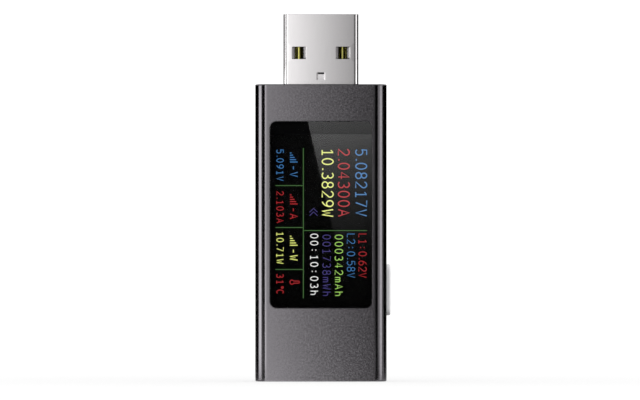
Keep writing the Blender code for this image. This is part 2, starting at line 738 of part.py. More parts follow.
def make_switch():
    """The side-press switch: a base with a chamber, a metal cover, and the plunger it keeps in."""
    base = part(
        "switch_body",
        (SWITCH_BACK, BOARD_SEAT, SWITCH_FOOT),
        (COVER_IN - SEAT_GAP, BOARD_SEAT + SWITCH_HEIGHT, SWITCH_HEAD),
        BLACK_PLASTIC,
    )
    chamber_half = SWITCH_CHAMBER_WIDTH / 2
    chamber = tool(
        "switch_chamber",
        (CHAMBER_FLOOR, SWITCH_Y - chamber_half, BUTTON_Z - chamber_half),
        (COVER_IN + CUT_OVERRUN, SWITCH_Y + chamber_half, BUTTON_Z + chamber_half),
    )
    cut(base, chamber)
    cover = part(
        "switch_cover",
        (COVER_IN, BOARD_SEAT, SWITCH_FOOT),
        (COVER_OUT, BOARD_SEAT + SWITCH_HEIGHT, SWITCH_HEAD),
        CAN_METAL,
    )
    stem_y = PLUNGER_STEM_HEIGHT / 2
    stem_z = PLUNGER_STEM_LENGTH / 2
    hole = tool(
        "switch_cover_hole",
        (COVER_IN - CUT_OVERRUN, SWITCH_Y - stem_y - FIT_GAP, BUTTON_Z - stem_z - FIT_GAP),
        (COVER_OUT + CUT_OVERRUN, SWITCH_Y + stem_y + FIT_GAP, BUTTON_Z + stem_z + FIT_GAP),
    )
    cut(cover, hole)
    head_half = PLUNGER_HEAD_WIDTH / 2
    plunger = part(
        "switch_plunger",
        (HEAD_IN, SWITCH_Y - head_half, BUTTON_Z - head_half),
        (HEAD_OUT, SWITCH_Y + head_half, BUTTON_Z + head_half),
        PALE_PLASTIC,
        parent=BUTTON_AXIS,
    )
    stem = tool(
        "plunger_stem",
        (HEAD_IN + PLUNGER_HEAD_THICKNESS / 2, SWITCH_Y - stem_y, BUTTON_Z - stem_z),
        (PLUNGER_TIP, SWITCH_Y + stem_y, BUTTON_Z + stem_z),
        parent=BUTTON_AXIS,
    )
    join(plunger, stem)


def make_dome():
    """The snap dome under the plunger: an arc of thin sheet, turned about the plunger's line."""
    outer = []
    inner = []
    for ring in range(DOME_RINGS + 1):
        reach = ring / DOME_RINGS
        outer.append((DOME_RADIUS * reach, DOME_SHEET + (DOME_HEIGHT - DOME_SHEET) * (1 - reach * reach)))
        inner.append((DOME_RADIUS * reach, (DOME_HEIGHT - DOME_SHEET) * (1 - reach * reach)))
    profile = outer + inner[::-1]
    shape = bmesh.new()
    points = [shape.verts.new((radius, 0.0, height)) for radius, height in profile]
    for first, second in zip(points, points[1:]):
        shape.edges.new((first, second))
    mesh = bpy.data.meshes.new("switch_dome")
    shape.to_mesh(mesh)
    shape.free()
    dome = bpy.data.objects.new("switch_dome", mesh)
    dome.rotation_euler = (0.0, pi / 2, 0.0)
    turn = dome.modifiers.new("turn", "SCREW")
    turn.axis = "Z"
    turn.angle = 2 * pi
    turn.steps = DOME_STEPS
    turn.render_steps = DOME_STEPS
    turn.use_merge_vertices = True
    turn.merge_threshold = MERGE_DISTANCE
    turn.use_smooth_shade = True
    dress(set_in(PARTS, dome, (DOME_FOOT, SWITCH_Y, BUTTON_Z)), CAN_METAL)


make_case_tube()
make_end_cap(
    "plug_end_cap",
    CAP_HEAD_FOOT,
    CASE_LENGTH - CAP_RECESS,
    PLUG_WIDTH / 2,
    PLUG_HEIGHT / 2,
    PLUG_CORNER_RADIUS,
)
make_end_cap(
    "socket_end_cap",
    CAP_RECESS,
    CAP_FOOT_TOP,
    SOCKET_WIDTH / 2,
    SOCKET_HEIGHT / 2,
    SOCKET_CORNER_RADIUS + SOCKET_WALL,
)
make_lens()
make_display()
make_board()
make_plug_shell()
make_plug_insulator()
make_socket_shell()
make_socket_insulator()
make_button()
make_switch()
make_dome()
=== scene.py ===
"""The looks of a slim inline power meter: a dark grey sleeve with a plug at its head, a socket at its foot,
a lit display in the front and a pale button in the right-hand side.

Metres, +Z up, the display facing -Y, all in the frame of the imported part. Every new piece is a numpy
surface: loops of points lofted one to the next, a profile carried along a path, or a flat grid.
"""

import json
from functools import partial

import bmesh
import bpy
import numpy as np
from mathutils import Matrix, Vector


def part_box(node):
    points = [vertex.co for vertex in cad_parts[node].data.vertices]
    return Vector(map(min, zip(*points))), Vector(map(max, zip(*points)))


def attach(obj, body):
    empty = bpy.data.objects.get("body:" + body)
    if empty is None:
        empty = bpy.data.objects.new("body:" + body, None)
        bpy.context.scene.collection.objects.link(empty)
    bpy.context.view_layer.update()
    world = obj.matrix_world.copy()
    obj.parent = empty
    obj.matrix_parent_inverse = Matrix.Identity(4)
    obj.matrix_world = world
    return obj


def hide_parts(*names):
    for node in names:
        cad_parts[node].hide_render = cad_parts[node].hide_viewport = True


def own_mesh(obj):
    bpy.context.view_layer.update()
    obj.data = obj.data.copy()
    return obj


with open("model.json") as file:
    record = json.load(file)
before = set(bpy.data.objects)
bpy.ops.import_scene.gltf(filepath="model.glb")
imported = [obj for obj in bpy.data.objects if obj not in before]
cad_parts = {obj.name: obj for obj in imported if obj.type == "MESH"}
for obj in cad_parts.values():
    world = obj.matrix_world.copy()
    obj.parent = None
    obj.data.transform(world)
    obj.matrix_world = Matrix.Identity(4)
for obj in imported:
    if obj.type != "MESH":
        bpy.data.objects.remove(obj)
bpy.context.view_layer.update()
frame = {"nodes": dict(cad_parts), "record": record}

MM = 0.001
QUARTER = np.pi / 2
FRONT_AXES = [0, 2]
MERGE_DISTANCE = 0.0001 * MM
SHARP_ANGLE = np.radians(28.0)
FLAT_RIM = 1.5

# Sleeve
SEAT_GAP = 0.05 * MM
FIT_GAP = 0.1 * MM
CASE_WALL = 1.2 * MM
CASE_EDGE_RADIUS = 1.9 * MM
CASE_BORE_RADIUS = 0.7 * MM
CASE_END_BREAK = 0.2 * MM
CASE_BREAK_STEPS = 4
CASE_COUNTS = (64, 48)
CASE_ARC = 12
CASE_ROWS = 64
CASE_HOLD = 0.03 * MM
FLAT_MARGIN = 0.1 * MM
POCKET_CHAMFER = 0.02 * MM
SLOT_CHAMFER = 0.12 * MM
LEDGE_WIDTH = 0.6 * MM
RAIL_WIDTH = 0.5 * MM
RAIL_DEPTH = 0.6 * MM

# End caps
CAP_EDGE = 0.12 * MM
CAP_EDGE_STEPS = 3
CAP_COUNTS = (48, 32)
CAP_ARC = 8
SOCKET_CORNER = 0.8 * MM

# Lens and display
LENS_CORNER_RADIUS = 1.1 * MM
LENS_EDGE = 0.03 * MM
LENS_COUNTS = (40, 60)
LENS_ARC = 10
POLARISER_THICKNESS = 0.12 * MM
POLARISER_MARGIN = 0.1 * MM
POLARISER_CORNER = 0.3 * MM
POLARISER_EDGE = 0.02 * MM
POLARISER_HEAD_Z = 39.52 * MM
PRINT_THICKNESS = 0.005 * MM
PRINT_STAND_OFF = 0.01 * MM
PRINT_OVERLAP = 0.02 * MM
GLYPH_THICKNESS = 0.01 * MM
GLYPH_STAND_OFF = 0.01 * MM
GLYPH_ASPECT = 1.06
RULE_WIDTH = 0.135 * MM

# Plug
PLUG_HEIGHT = 4.5 * MM
PLUG_WALL = 0.3 * MM
PLUG_CORNER_RADIUS = 0.65 * MM
PLUG_LIP = 0.04 * MM
PLUG_LIP_STEPS = 8
PLUG_STRAIGHT = 52
PLUG_SIDE = 12
PLUG_ARC = 8
PLUG_ROWS = (8, 16, 4, 18, 8)
TAB_RUN = 1
WINDOW_RUN = 3
WINDOW_HALF_WIDTH = 1.18 * MM
WINDOW_HALF_LENGTH = 1.0 * MM
WINDOW_CORNER = 0.22 * MM
WINDOW_ARC = 4
WINDOW_FOLD = 0.46 * MM
WINDOW_RIM = 0.03 * MM
WINDOW_FROM_TIP = 6.2 * MM
WINDOW_CELL = (1.45 * MM, 1.6 * MM)
FOLD_ANGLE = np.radians(46.0)
FOLD_BEND = 0.08 * MM
FOLD_STEPS = 4
TAB_HALF_WIDTH = 0.53 * MM
TAB_LENGTH = 0.8 * MM
TAB_SLIT = 0.27 * MM
TAB_FROM_TIP = 9.35 * MM
TAB_SINK = 0.12 * MM
TAB_EDGE_SINK = 0.012 * MM
TAB_SLOPE = 0.2 * MM
TAB_EDGE_RIM = FIT_GAP / 4
TAB_CORNER = 0.12 * MM
TAB_ARC = 3
TAB_CELL_HALF = 1.0 * MM
LEG_FROM_END = 2.0 * MM
LEG_WIDTH = 1.5 * MM

# Contacts
CONTACT_WIDTH = 1.2 * MM
CONTACT_THICKNESS = 0.25 * MM
CONTACT_CROWN = 0.2 * MM
CONTACT_EDGE = 0.06 * MM
CONTACT_STEPS = 14
CONTACT_ROWS = 12
NOSES_IN_LENGTH = 6

# Button
BAR_HALF = np.array([1.3, 4.125]) * MM
BAR_COUNTS = (40, 60)
BAR_ARC = 12
BAR_EDGE_STEPS = 8
BUTTON_CORNER_RADIUS = 1.2 * MM
BUTTON_EDGE = 0.28 * MM
FLANGE_THICKNESS = 0.6 * MM
FLANGE_EDGE = 0.08 * MM
FLANGE_COUNTS = (28, 40)
FLANGE_ARC = 8

# Snap dome in the switch
DOME_SHEET = 0.08 * MM
DOME_RINGS = 12
DOME_STEPS = 48


def corners(*nodes):
    """The lowest and highest corners round some nodes, as arrays."""
    boxes = np.array([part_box(node) for node in nodes])
    return boxes[:, 0].min(axis=0), boxes[:, 1].max(axis=0)


CASE_LOW, CASE_HIGH = corners("case_tube")
LENS_LOW, LENS_HIGH = corners("display_lens")
BOARD_LOW, BOARD_HIGH = corners("main_board")
PLUG_LOW, PLUG_HIGH = corners("plug_shell")
SOCKET_LOW, SOCKET_HIGH = corners("socket_shell")
BUTTON_LOW, BUTTON_HIGH = corners("side_button")
BUTTON_MIDDLE = (BUTTON_LOW[1:] + BUTTON_HIGH[1:]) / 2
TAPE_BACK = corners("lens_tape")[1][1]
GLASS_FRONT = corners("lcd_glass")[0][1]
FLAT_HALF = CASE_HIGH[0] - CASE_EDGE_RADIUS
BORE_LOW = np.array([CASE_LOW[0] + CASE_WALL, GLASS_FRONT - SEAT_GAP])
BORE_HIGH = np.array([CASE_HIGH[0] - CASE_WALL, CASE_HIGH[1] - CASE_WALL])
POLARISER_BACK = GLASS_FRONT - SEAT_GAP / 2
GLYPH_BACK = POLARISER_BACK - POLARISER_THICKNESS - GLYPH_STAND_OFF
CONNECTOR_Y = (SOCKET_LOW[1] + SOCKET_HIGH[1]) / 2
PLUG_FRONT = CONNECTOR_Y - PLUG_HEIGHT / 2
PLUG_BACK = CONNECTOR_Y + PLUG_HEIGHT / 2
WINDOW_Z = PLUG_HIGH[2] - WINDOW_FROM_TIP


# Loops and lofts


def rounded_loop(low, high, radius, counts, arc):
    """A rectangle with round corners as a closed loop of points.

    Each side starts in the middle of one corner's arc. The angle turns 45 degrees on the rest of that arc,
    stays while the arc's centre slides along the straight, and turns 45 degrees on half of the next arc.
    """
    low = np.asarray(low) + radius
    high = np.asarray(high) - radius
    centres = np.array([low, (high[0], low[1]), high, (low[0], high[1])])
    sides = []
    for side in range(4):
        count = counts[side % 2]
        step = np.arange(count)
        slide = np.clip((step - arc) / (count - 2 * arc), 0, 1)[:, None]
        turn = np.clip(step / arc, 0, 1) + np.clip((step - count + arc) / arc, 0, 1)
        angle = np.radians(225 + 90 * side + 45 * turn)
        centre = centres[side] + (centres[(side + 1) % 4] - centres[side]) * slide
        sides.append(centre + radius * np.stack([np.cos(angle), np.sin(angle)], axis=1))
    return np.concatenate(sides)


def grid_of(across, up):
    """A flat grid of points."""
    return np.stack(np.meshgrid(across, up), axis=-1)


def rectangle_loop(across, up):
    """The loop round the edge of a grid: across at the foot, up, back across at the head and down."""
    grid = grid_of(across, up)
    return np.concatenate([grid[0, :-1], grid[:-1, -1], grid[-1, :0:-1], grid[:0:-1, 0]])


def lay(points, axis, level):
    """Stand flat points in space, at one level along an axis; their columns take the other two axes."""
    return np.insert(points, axis, level, axis=-1)


def loft(loops):
    """Closed loops with as many points each as a grid's rows, its first column repeated at the end."""
    grid = np.stack(loops)
    return np.concatenate([grid, grid[:, :1]], axis=1)


def flat(across, up, axis, level):
    """A flat wall as a grid of points at one level along an axis."""
    return lay(grid_of(across, up), axis, level)


def shrink(samples, margin):
    """The samples of a straight line drawn in by a margin at both ends."""
    middle = (samples[0] + samples[-1]) / 2
    half = (samples[-1] - samples[0]) / 2
    return middle + (samples - middle) * (1 - margin / half)


def outlines(rows, counts, arc, axis=2):
    """Rounded loops, each from its low and high corners, its radius and its level along an axis."""
    return [lay(rounded_loop(*row, counts, arc), axis, level) for *row, level in rows]


def grown(low, high, radius, margin, level):
    """A rounded outline let out by a margin, at a level."""
    return low - margin, high + margin, radius + margin, level


def rings(low, high, radius, counts, arc, rows):
    """A rounded outline at some heights, drawn in by an inset at each."""
    return outlines([grown(low, high, radius, -i, z) for i, z in rows], counts, arc)


def bands(loops, first, last, wrap, arc):
    """Two runs of the columns of some loops: first to last, and from the wrap on round to the front."""
    grid = np.stack(loops)
    total = grid.shape[1]
    return [grid[:, first : last + 1], grid[:, np.arange(wrap, total + arc + 1) % total]]


def quarter_round(edge, steps):
    """The insets and rises of a rounded edge: one minus the sine, and one minus the cosine, of an angle."""
    turn = np.linspace(0, QUARTER, steps + 1)
    return edge * (1 - np.sin(turn)), edge * (1 - np.cos(turn))


def both_ends(inset, rise, low, high):
    """Pairs of inset and level for an edge at the low end and the same edge turned round at the high end."""
    return list(zip([*inset, *inset[::-1]], [*(low + rise), *(high - rise[::-1])]))


def slab(low, high, axis, radius, edge, counts=(28, 28), arc=6, edge_steps=4):
    """A rounded slab along one axis, as a grid and its two end faces.

    The outline grows through a quarter-round edge, runs straight, and shrinks in the same way at the far
    end. A flat rim inside each end face keeps that face's shading flat.
    """
    others = [other for other in range(3) if other != axis]
    inset, rise = quarter_round(edge, edge_steps)
    inset = np.insert(inset, 0, edge * FLAT_RIM)
    rise = np.insert(rise, 0, 0.0)
    rows = [
        (low[others] + i, high[others] - i, max(radius - i, edge / 2), level)
        for i, level in both_ends(inset, rise, low[axis], high[axis])
    ]
    loops = outlines(rows, counts, arc, axis)
    return loft(loops), (loops[0], loops[-1])


def block(low, high):
    """A plain block between two corners, as a grid and its two end faces."""
    loop = np.array([low[:2], (high[0], low[1]), high[:2], (low[0], high[1])])
    loops = [lay(loop, 2, low[2]), lay(loop, 2, high[2])]
    return loft(loops), loops


# Meshes and pieces


def skin(name, patches, caps=()):
    """A mesh of grids of points and flat end faces, doubled points merged and faces turned outwards."""
    points = []
    faces = []
    start = 0
    for patch in patches:
        rows, columns = patch.shape[:2]
        index = start + np.arange(rows * columns).reshape(rows, columns)
        quads = np.stack([index[:-1, :-1], index[:-1, 1:], index[1:, 1:], index[1:, :-1]], axis=-1)
        faces.extend(quads.reshape(-1, 4).tolist())
        points.append(patch.reshape(-1, 3))
        start += rows * columns
    for loop in caps:
        faces.append(list(range(start, start + len(loop))))
        points.append(loop)
        start += len(loop)
    mesh = bpy.data.meshes.new(name)
    mesh.from_pydata(np.concatenate(points).tolist(), [], faces)
    shape = bmesh.new()
    shape.from_mesh(mesh)
    bmesh.ops.remove_doubles(shape, verts=shape.verts, dist=MERGE_DISTANCE)
    bmesh.ops.recalc_face_normals(shape, faces=shape.faces)
    shape.to_mesh(mesh)
    shape.free()
    mesh.shade_smooth()
    mesh.set_sharp_from_angle(angle=SHARP_ANGLE)
    return mesh


def put(name, data):
    """An object of the scene with its mesh, lamp or camera."""
    thing = bpy.data.objects.new(name, data)
    bpy.context.scene.collection.objects.link(thing)
    return thing


def piece(name, patches, caps, slot, replaces=(), body="meter", finish=None):
    """A new piece of the object, on a body, in its slot's finish or another, standing for some CAD nodes."""
    thing = put(name, skin(name, patches, caps))
    thing.data.materials.append(finish or FINISHES[slot])
    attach(thing, body)
    if replaces:
        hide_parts(*replaces)
    return thing


# Finishes

EVEN = (1.0, 1.0, 1.0)
WHITE = (1.0, 1.0, 1.0, 1.0)
CLOUD_LOW = 0.3
CLOUD_HIGH = 0.7
MIX_SOCKETS = {"FLOAT": (2, 3, 0), "RGBA": (6, 7, 2)}

# Blasted metal: a swing is the speckle's share of the shade; on the front it grows from left to right as a
# painted glint
SLEEVE_COLOUR = (0.122, 0.116, 0.124)
SLEEVE_ROUGHNESS = (0.26, 0.14)
SPECKLE_GRAIN = 0.26 * MM
SPECKLE_DEPTH = 0.003 * MM
SPECKLE_RELIEF = 0.3
# painted glint: the speckle's share at the left and at the right of the front
FRONT_PAINTED_GLINT_SWING = (0.06, 0.5)
EDGE_SWING = 0.2
BACK_SWING = 0.12
SIDE_BLEND = 1.0 * MM
EDGE_BLEND = 0.3 * MM
SMOOTH_PAST = 0.1 * MM

# Plated steel
STEEL_COLOUR = (0.72, 0.70, 0.705)
STEEL_SPREAD = 0.025
STEEL_ROUGHNESS = (0.09, 0.13)
STEEL_CLOUD = 1.5 * MM
ROLLING_GRAIN = 0.05 * MM
ROLLING_STRETCH = (1.0, 1.0, 60.0)
ROLLING_DEPTH = 0.0003 * MM
ROLLING_RELIEF = 0.2
DULL_DEPTH = 0.03 * MM
DULL_ROUGHNESS = 0.2
# painted shade: the scale on the colour of the windows' folds
PAINTED_FOLD_SHADE = 0.58

# Acrylic and the lit marks
ACRYLIC_IOR = 1.49
ACRYLIC_ROUGHNESS = 0.01
ACRYLIC_HAZE = 0.01
ACRYLIC_CLOUD = 3.0 * MM
LIT_STRENGTH = 1.05
LIT_ROUGHNESS = 0.6
LIT_FILM = 0.04
LIT_SPREAD = 0.2
LIT_GRAIN = 0.1 * MM


def feed(tree, sockets, values):
    """Set sockets to values by their names or numbers, or link them to other nodes' outputs."""
    for key, value in values.items():
        if isinstance(value, bpy.types.NodeSocket):
            tree.links.new(value, sockets[key])
        else:
            sockets[key].default_value = value


def add(tree, kind, *values, **settings):
    """A node of one kind with its settings; its first sockets take values or other nodes' outputs."""
    node = tree.nodes.new(kind)
    for key, value in settings.items():
        setattr(node, key, value)
    feed(tree, node.inputs, dict(enumerate(values)))
    return node


def maths(tree, operation, *values):
    """The result of a maths node."""
    return add(tree, "ShaderNodeMath", *values, operation=operation).outputs[0]


def mixed(tree, kind, share, first, second):
    """A number or a colour between two, by a share."""
    node = add(tree, "ShaderNodeMix", share, data_type=kind)
    low, high, result = MIX_SOCKETS[kind]
    feed(tree, node.inputs, {low: first, high: second})
    return node.outputs[result]


def scaled(tree, colour, share):
    """A colour times a share."""
    node = add(tree, "ShaderNodeVectorMath", colour, operation="SCALE")
    feed(tree, node.inputs, {"Scale": share})
    return node.outputs[0]


def between(tree, source, low, high, start=CLOUD_LOW, end=CLOUD_HIGH):
    """A value that goes from low to high while the source goes from start to end."""
    return add(tree, "ShaderNodeMapRange", source, start, end, low, high).outputs["Result"]


def place_on(tree):
    """The place on the piece, in the piece's own coordinates."""
    return add(tree, "ShaderNodeTexCoord").outputs["Object"]


def axes_of(tree, place):
    """A place's three parts, along X, Y and Z."""
    return add(tree, "ShaderNodeSeparateXYZ", place).outputs


def cloud(tree, grain, detail=2.0, stretch=EVEN):
    """Cloud noise over the piece's own coordinates, with a grain size that is drawn out along the axes."""
    fit = add(tree, "ShaderNodeMapping", place_on(tree))
    feed(tree, fit.inputs, {"Scale": [1 / (grain * share) for share in stretch]})
    noise = add(tree, "ShaderNodeTexNoise", fit.outputs["Vector"])
    feed(tree, noise.inputs, {"Scale": 1.0, "Detail": detail})
    return noise.outputs["Fac"]


def stain(tree, source, colour, spread):
    """A colour that goes from a darker to a lighter shade of itself with a source."""
    dark = [value * (1 - spread) for value in colour]
    light = [value * (1 + spread) for value in colour]
    return mixed(tree, "RGBA", between(tree, source, 0.0, 1.0), (*dark, 1.0), (*light, 1.0))


def emboss(tree, sockets, source, depth, strength):
    """Relief of one depth from a source."""
    node = add(tree, "ShaderNodeBump")
    feed(tree, node.inputs, {"Strength": strength, "Distance": depth, "Height": source})
    feed(tree, sockets, {"Normal": node.outputs["Normal"]})


def new_finish(name, colour, roughness, metallic=0.0, gloss=0.5):
    """A material with one plain shader, as the material, its node tree and that shader's sockets."""
    material = bpy.data.materials.new(name)
    material.use_nodes = True
    tree = material.node_tree
    sockets = tree.nodes["Principled BSDF"].inputs
    feed(tree, sockets, {"Base Color": (*colour, 1.0), "Roughness": roughness})
    feed(tree, sockets, {"Metallic": metallic, "Specular IOR Level": gloss})
    return material, tree, sockets


def grained(name, colour, roughness, grain, spread=0.12, metallic=0.0, rough_spread=0.06, rough_grain=None,
            depth=0.004 * MM, relief=0.5, stretch=EVEN, gloss=0.5):
    """A finish with a fine grain that its colour, its roughness and any relief follow.

    The roughness may follow a grain of its own.
    """
    material, tree, sockets = new_finish(name, colour, roughness, metallic, gloss)
    source = cloud(tree, grain, stretch=stretch)
    haze = cloud(tree, rough_grain) if rough_grain else source
    rough = between(tree, haze, roughness - rough_spread, roughness + rough_spread)
    feed(tree, sockets, {"Base Color": stain(tree, source, colour, spread), "Roughness": rough})
    if depth:
        emboss(tree, sockets, source, depth, relief)
    return material


def blasted_metal():
    """Dark grey anodised metal, bead-blasted: fine speckle in shade and relief, painted glint, smooth on
    round sides.
    """
    material, tree, sockets = new_finish("anodised_metal", SLEEVE_COLOUR, SLEEVE_ROUGHNESS[0], 1.0)
    speckle = cloud(tree, SPECKLE_GRAIN, detail=1.0)
    x, y, _ = axes_of(tree, place_on(tree))
    aside = maths(tree, "ABSOLUTE", x)
    edge_start = FLAT_HALF - EDGE_BLEND
    # painted glint: the speckle's share of the colour grows from the left to the right of the front
    across = between(tree, x, *FRONT_PAINTED_GLINT_SWING, -FLAT_HALF, FLAT_HALF)
    to_edge = between(tree, aside, 1.0, EDGE_SWING, edge_start, FLAT_HALF)
    to_back = between(tree, y, 0.0, 1.0, -SIDE_BLEND, SIDE_BLEND)
    swing = mixed(tree, "FLOAT", to_back, maths(tree, "MULTIPLY", across, to_edge), BACK_SWING)
    shade = maths(tree, "MULTIPLY_ADD", between(tree, speckle, -1.0, 1.0), swing, 1.0)
    rough = between(tree, aside, *SLEEVE_ROUGHNESS, edge_start, FLAT_HALF + SMOOTH_PAST)
    feed(tree, sockets, {"Base Color": scaled(tree, SLEEVE_COLOUR, shade), "Roughness": rough})
    emboss(tree, sockets, speckle, SPECKLE_DEPTH, SPECKLE_RELIEF)
    return material


def plated_steel():
    """Nickel-plated sheet: fine rolling lines along it, duller inside, with painted shade on the windows'
    folds.
    """
    material, tree, sockets = new_finish("plated_steel", STEEL_COLOUR, DULL_ROUGHNESS, 1.0)
    rolling = cloud(tree, ROLLING_GRAIN, stretch=ROLLING_STRETCH)
    x, y, z = axes_of(tree, place_on(tree))
    across = maths(tree, "COMPARE", x, 0.0, PLUG_HIGH[0] - PLUG_CORNER_RADIUS - DULL_DEPTH)
    deep = maths(tree, "COMPARE", y, CONNECTOR_Y, PLUG_HEIGHT / 2 - DULL_DEPTH)
    inside = maths(tree, "MULTIPLY", across, deep)
    at_window = maths(tree, "COMPARE", z, WINDOW_Z, WINDOW_HALF_LENGTH + FIT_GAP)
    # painted shade: near the windows, the shell's inner parts, which take in the folds, are darkened
    shade = between(tree, maths(tree, "MULTIPLY", inside, at_window), 1.0, PAINTED_FOLD_SHADE, 0.0, 1.0)
    plain = between(tree, cloud(tree, STEEL_CLOUD), *STEEL_ROUGHNESS)
    rough = maths(tree, "MULTIPLY_ADD", inside, DULL_ROUGHNESS, plain)
    colour = stain(tree, rolling, STEEL_COLOUR, STEEL_SPREAD)
    feed(tree, sockets, {"Base Color": scaled(tree, colour, shade), "Roughness": rough})
    emboss(tree, sockets, rolling, ROLLING_DEPTH, ROLLING_RELIEF)
    return material


def clear_acrylic():
    """Clear polished sheet, with the faintest haze in its gloss."""
    material, tree, sockets = new_finish("lens_acrylic", WHITE[:3], ACRYLIC_ROUGHNESS)
    clear = ACRYLIC_ROUGHNESS - ACRYLIC_HAZE
    hazy = ACRYLIC_ROUGHNESS + ACRYLIC_HAZE
    rough = between(tree, cloud(tree, ACRYLIC_CLOUD), clear, hazy)
    feed(tree, sockets, {"Transmission Weight": 1.0, "IOR": ACRYLIC_IOR, "Roughness": rough})
    return material


def lit(name, colour):
    """A lit mark on the display: light of its own in one colour, on a dark grained film."""
    material, tree, sockets = new_finish(name, colour, LIT_ROUGHNESS)
    film = [value * LIT_FILM for value in colour]
    feed(tree, sockets, {"Emission Color": (*colour, 1.0), "Emission Strength": LIT_STRENGTH})
    feed(tree, sockets, {"Base Color": stain(tree, cloud(tree, LIT_GRAIN), film, LIT_SPREAD)})
    return material


def linear(*levels):
    """Display levels from 0 to 255 as linear light."""
    share = np.array(levels) / 255
    return tuple(np.where(share <= 0.04045, share / 12.92, ((share + 0.055) / 1.055) ** 2.4).tolist())


# The grained finishes: colour, roughness, grain size, and what is not as usual
FILM = dict(rough_spread=0.02, depth=0.0)
METAL = dict(spread=0.05, metallic=1.0)
BRIGHT = dict(rough_spread=0.03, depth=0.001 * MM)
SOFT = dict(rough_spread=0.05, depth=0.01 * MM)
WOVEN = dict(rough_grain=1.0 * MM, depth=0.003 * MM, relief=1.0, stretch=(1.0, 1.0, 2.0))
GRAINED = {
    "gold_plate": ((0.45, 0.42, 0.12), 0.19, 0.2 * MM, METAL | BRIGHT),
    "black_plastic": ((0.018, 0.018, 0.020), 0.50, 0.18 * MM, {}),
    "insulator_plastic": ((0.020, 0.020, 0.022), 0.45, 0.3 * MM, {}),
    "pale_plastic": (
        (0.80, 0.80, 0.81), 0.36, 0.25 * MM, dict(spread=0.02, rough_spread=0.04, depth=0.002 * MM)
    ),
    "display_glass": ((0.009, 0.009, 0.0095), 0.08, 0.4 * MM, FILM | dict(gloss=0.05)),
    "polariser_film": ((0.016, 0.016, 0.0165), 0.06, 0.4 * MM, FILM | dict(gloss=0.85)),
    "lens_print": ((0.012, 0.012, 0.0125), 0.06, 0.4 * MM, FILM | dict(gloss=0.85)),
    "head_print": ((0.012, 0.012, 0.0125), 0.06, 0.4 * MM, FILM | dict(gloss=0.05)),
    "backlight_plastic": ((0.65, 0.65, 0.66), 0.45, 0.3 * MM, dict(spread=0.03)),
    "foam": ((0.003, 0.003, 0.003), 0.92, 0.08 * MM, SOFT | dict(spread=0.3, gloss=0.05)),
    "flex_film": ((0.42, 0.20, 0.05), 0.35, 0.4 * MM, dict(spread=0.15)),
    "board_laminate": ((0.015, 0.090, 0.040), 0.40, 0.25 * MM, WOVEN | dict(spread=0.25)),
    "chip_resin": ((0.022, 0.022, 0.024), 0.55, 0.12 * MM, {}),
    "ferrite": ((0.075, 0.075, 0.080), 0.60, 0.15 * MM, dict(spread=0.2)),
    "capacitor_ceramic": ((0.42, 0.31, 0.21), 0.50, 0.1 * MM, dict(spread=0.1)),
    "can_metal": ((0.62, 0.62, 0.62), 0.30, 0.1 * MM, METAL | dict(stretch=(1.0, 1.0, 12.0))),
}
FINISHES = {name: grained(name, *row, **rest) for name, (*row, rest) in GRAINED.items()}
FINISHES["anodised_metal"] = blasted_metal()
FINISHES["plated_steel"] = plated_steel()
FINISHES["lens_acrylic"] = clear_acrylic()
DISPLAY_COLOURS = {
    "blue": linear(82, 131, 184),
    "red": linear(182, 56, 61),
    "yellow": linear(234, 240, 140),
    "deep_blue": linear(54, 112, 168),
    "deep_red": linear(164, 32, 36),
    "deep_yellow": linear(218, 226, 118),
    "green": linear(58, 98, 48),
    "lime": linear(154, 204, 94),
    "indigo": linear(60, 53, 114),
    "white": linear(242, 242, 240),
}


# Sleeve

CASE_TURNS = (CASE_COUNTS[0] - CASE_ARC, CASE_COUNTS[0] + CASE_ARC, sum(CASE_COUNTS) - CASE_ARC)
case_rings = partial(rings, CASE_LOW[:2], CASE_HIGH[:2], CASE_EDGE_RADIUS, CASE_COUNTS, CASE_ARC)
bore_rings = partial(rings, BORE_LOW, BORE_HIGH, CASE_BORE_RADIUS, CASE_COUNTS, CASE_ARC)


def straights(loop):
    """The samples along the front straight and along the right-hand straight of an outline."""
    front_end, side_start, side_end = CASE_TURNS
    return loop[CASE_ARC : front_end + 1, 0], loop[side_start : side_end + 1, 1]


def pierced_wall(axis, outer, inner, heights, openings):
    """A wall with an opening through it: from its outer edge to the opening, through and back out inside.

    Outer and inner are the straight's samples and the wall's level on each face. Each opening loop is given
    as its low and high corners, radius and level, in order from outside to inside.
    """
    counts = (len(outer[0]) - 1, len(heights) - 1)
    faces = []
    for samples, level in (outer, inner):
        drawn_in = rectangle_loop(shrink(samples, FLAT_MARGIN), shrink(heights, FLAT_MARGIN))
        faces.append([lay(rectangle_loop(samples, heights), axis, level), lay(drawn_in, axis, level)])
    through = outlines(openings, counts, counts[0] // 4, axis)
    return loft([*faces[0], *through, *faces[1][::-1]])


def lens_openings():
    """The stepped lens pocket: a chamfered mouth, the pocket's wall, the ledge and the view through it."""
    low = LENS_LOW[FRONT_AXES]
    high = LENS_HIGH[FRONT_AXES]
    lens = (low, high, LENS_CORNER_RADIUS)
    view = (low + LEDGE_WIDTH, high - LEDGE_WIDTH, LENS_CORNER_RADIUS)
    front = CASE_LOW[1]
    floor = TAPE_BACK + SEAT_GAP
    return [
        grown(*lens, FIT_GAP + POCKET_CHAMFER, front),
        grown(*lens, FIT_GAP, front + POCKET_CHAMFER),
        grown(*lens, FIT_GAP, floor),
        (*view, floor),
        (*view, BORE_LOW[1]),
    ]


def slot_openings():
    """The button's slot: a chamfered mouth and a straight wall."""
    bar = (BUTTON_MIDDLE - BAR_HALF, BUTTON_MIDDLE + BAR_HALF, BUTTON_CORNER_RADIUS)
    side = CASE_HIGH[0]
    return [
        grown(*bar, FIT_GAP + SLOT_CHAMFER, side),
        grown(*bar, FIT_GAP, side - SLOT_CHAMFER),
        grown(*bar, FIT_GAP, BORE_HIGH[0]),
    ]


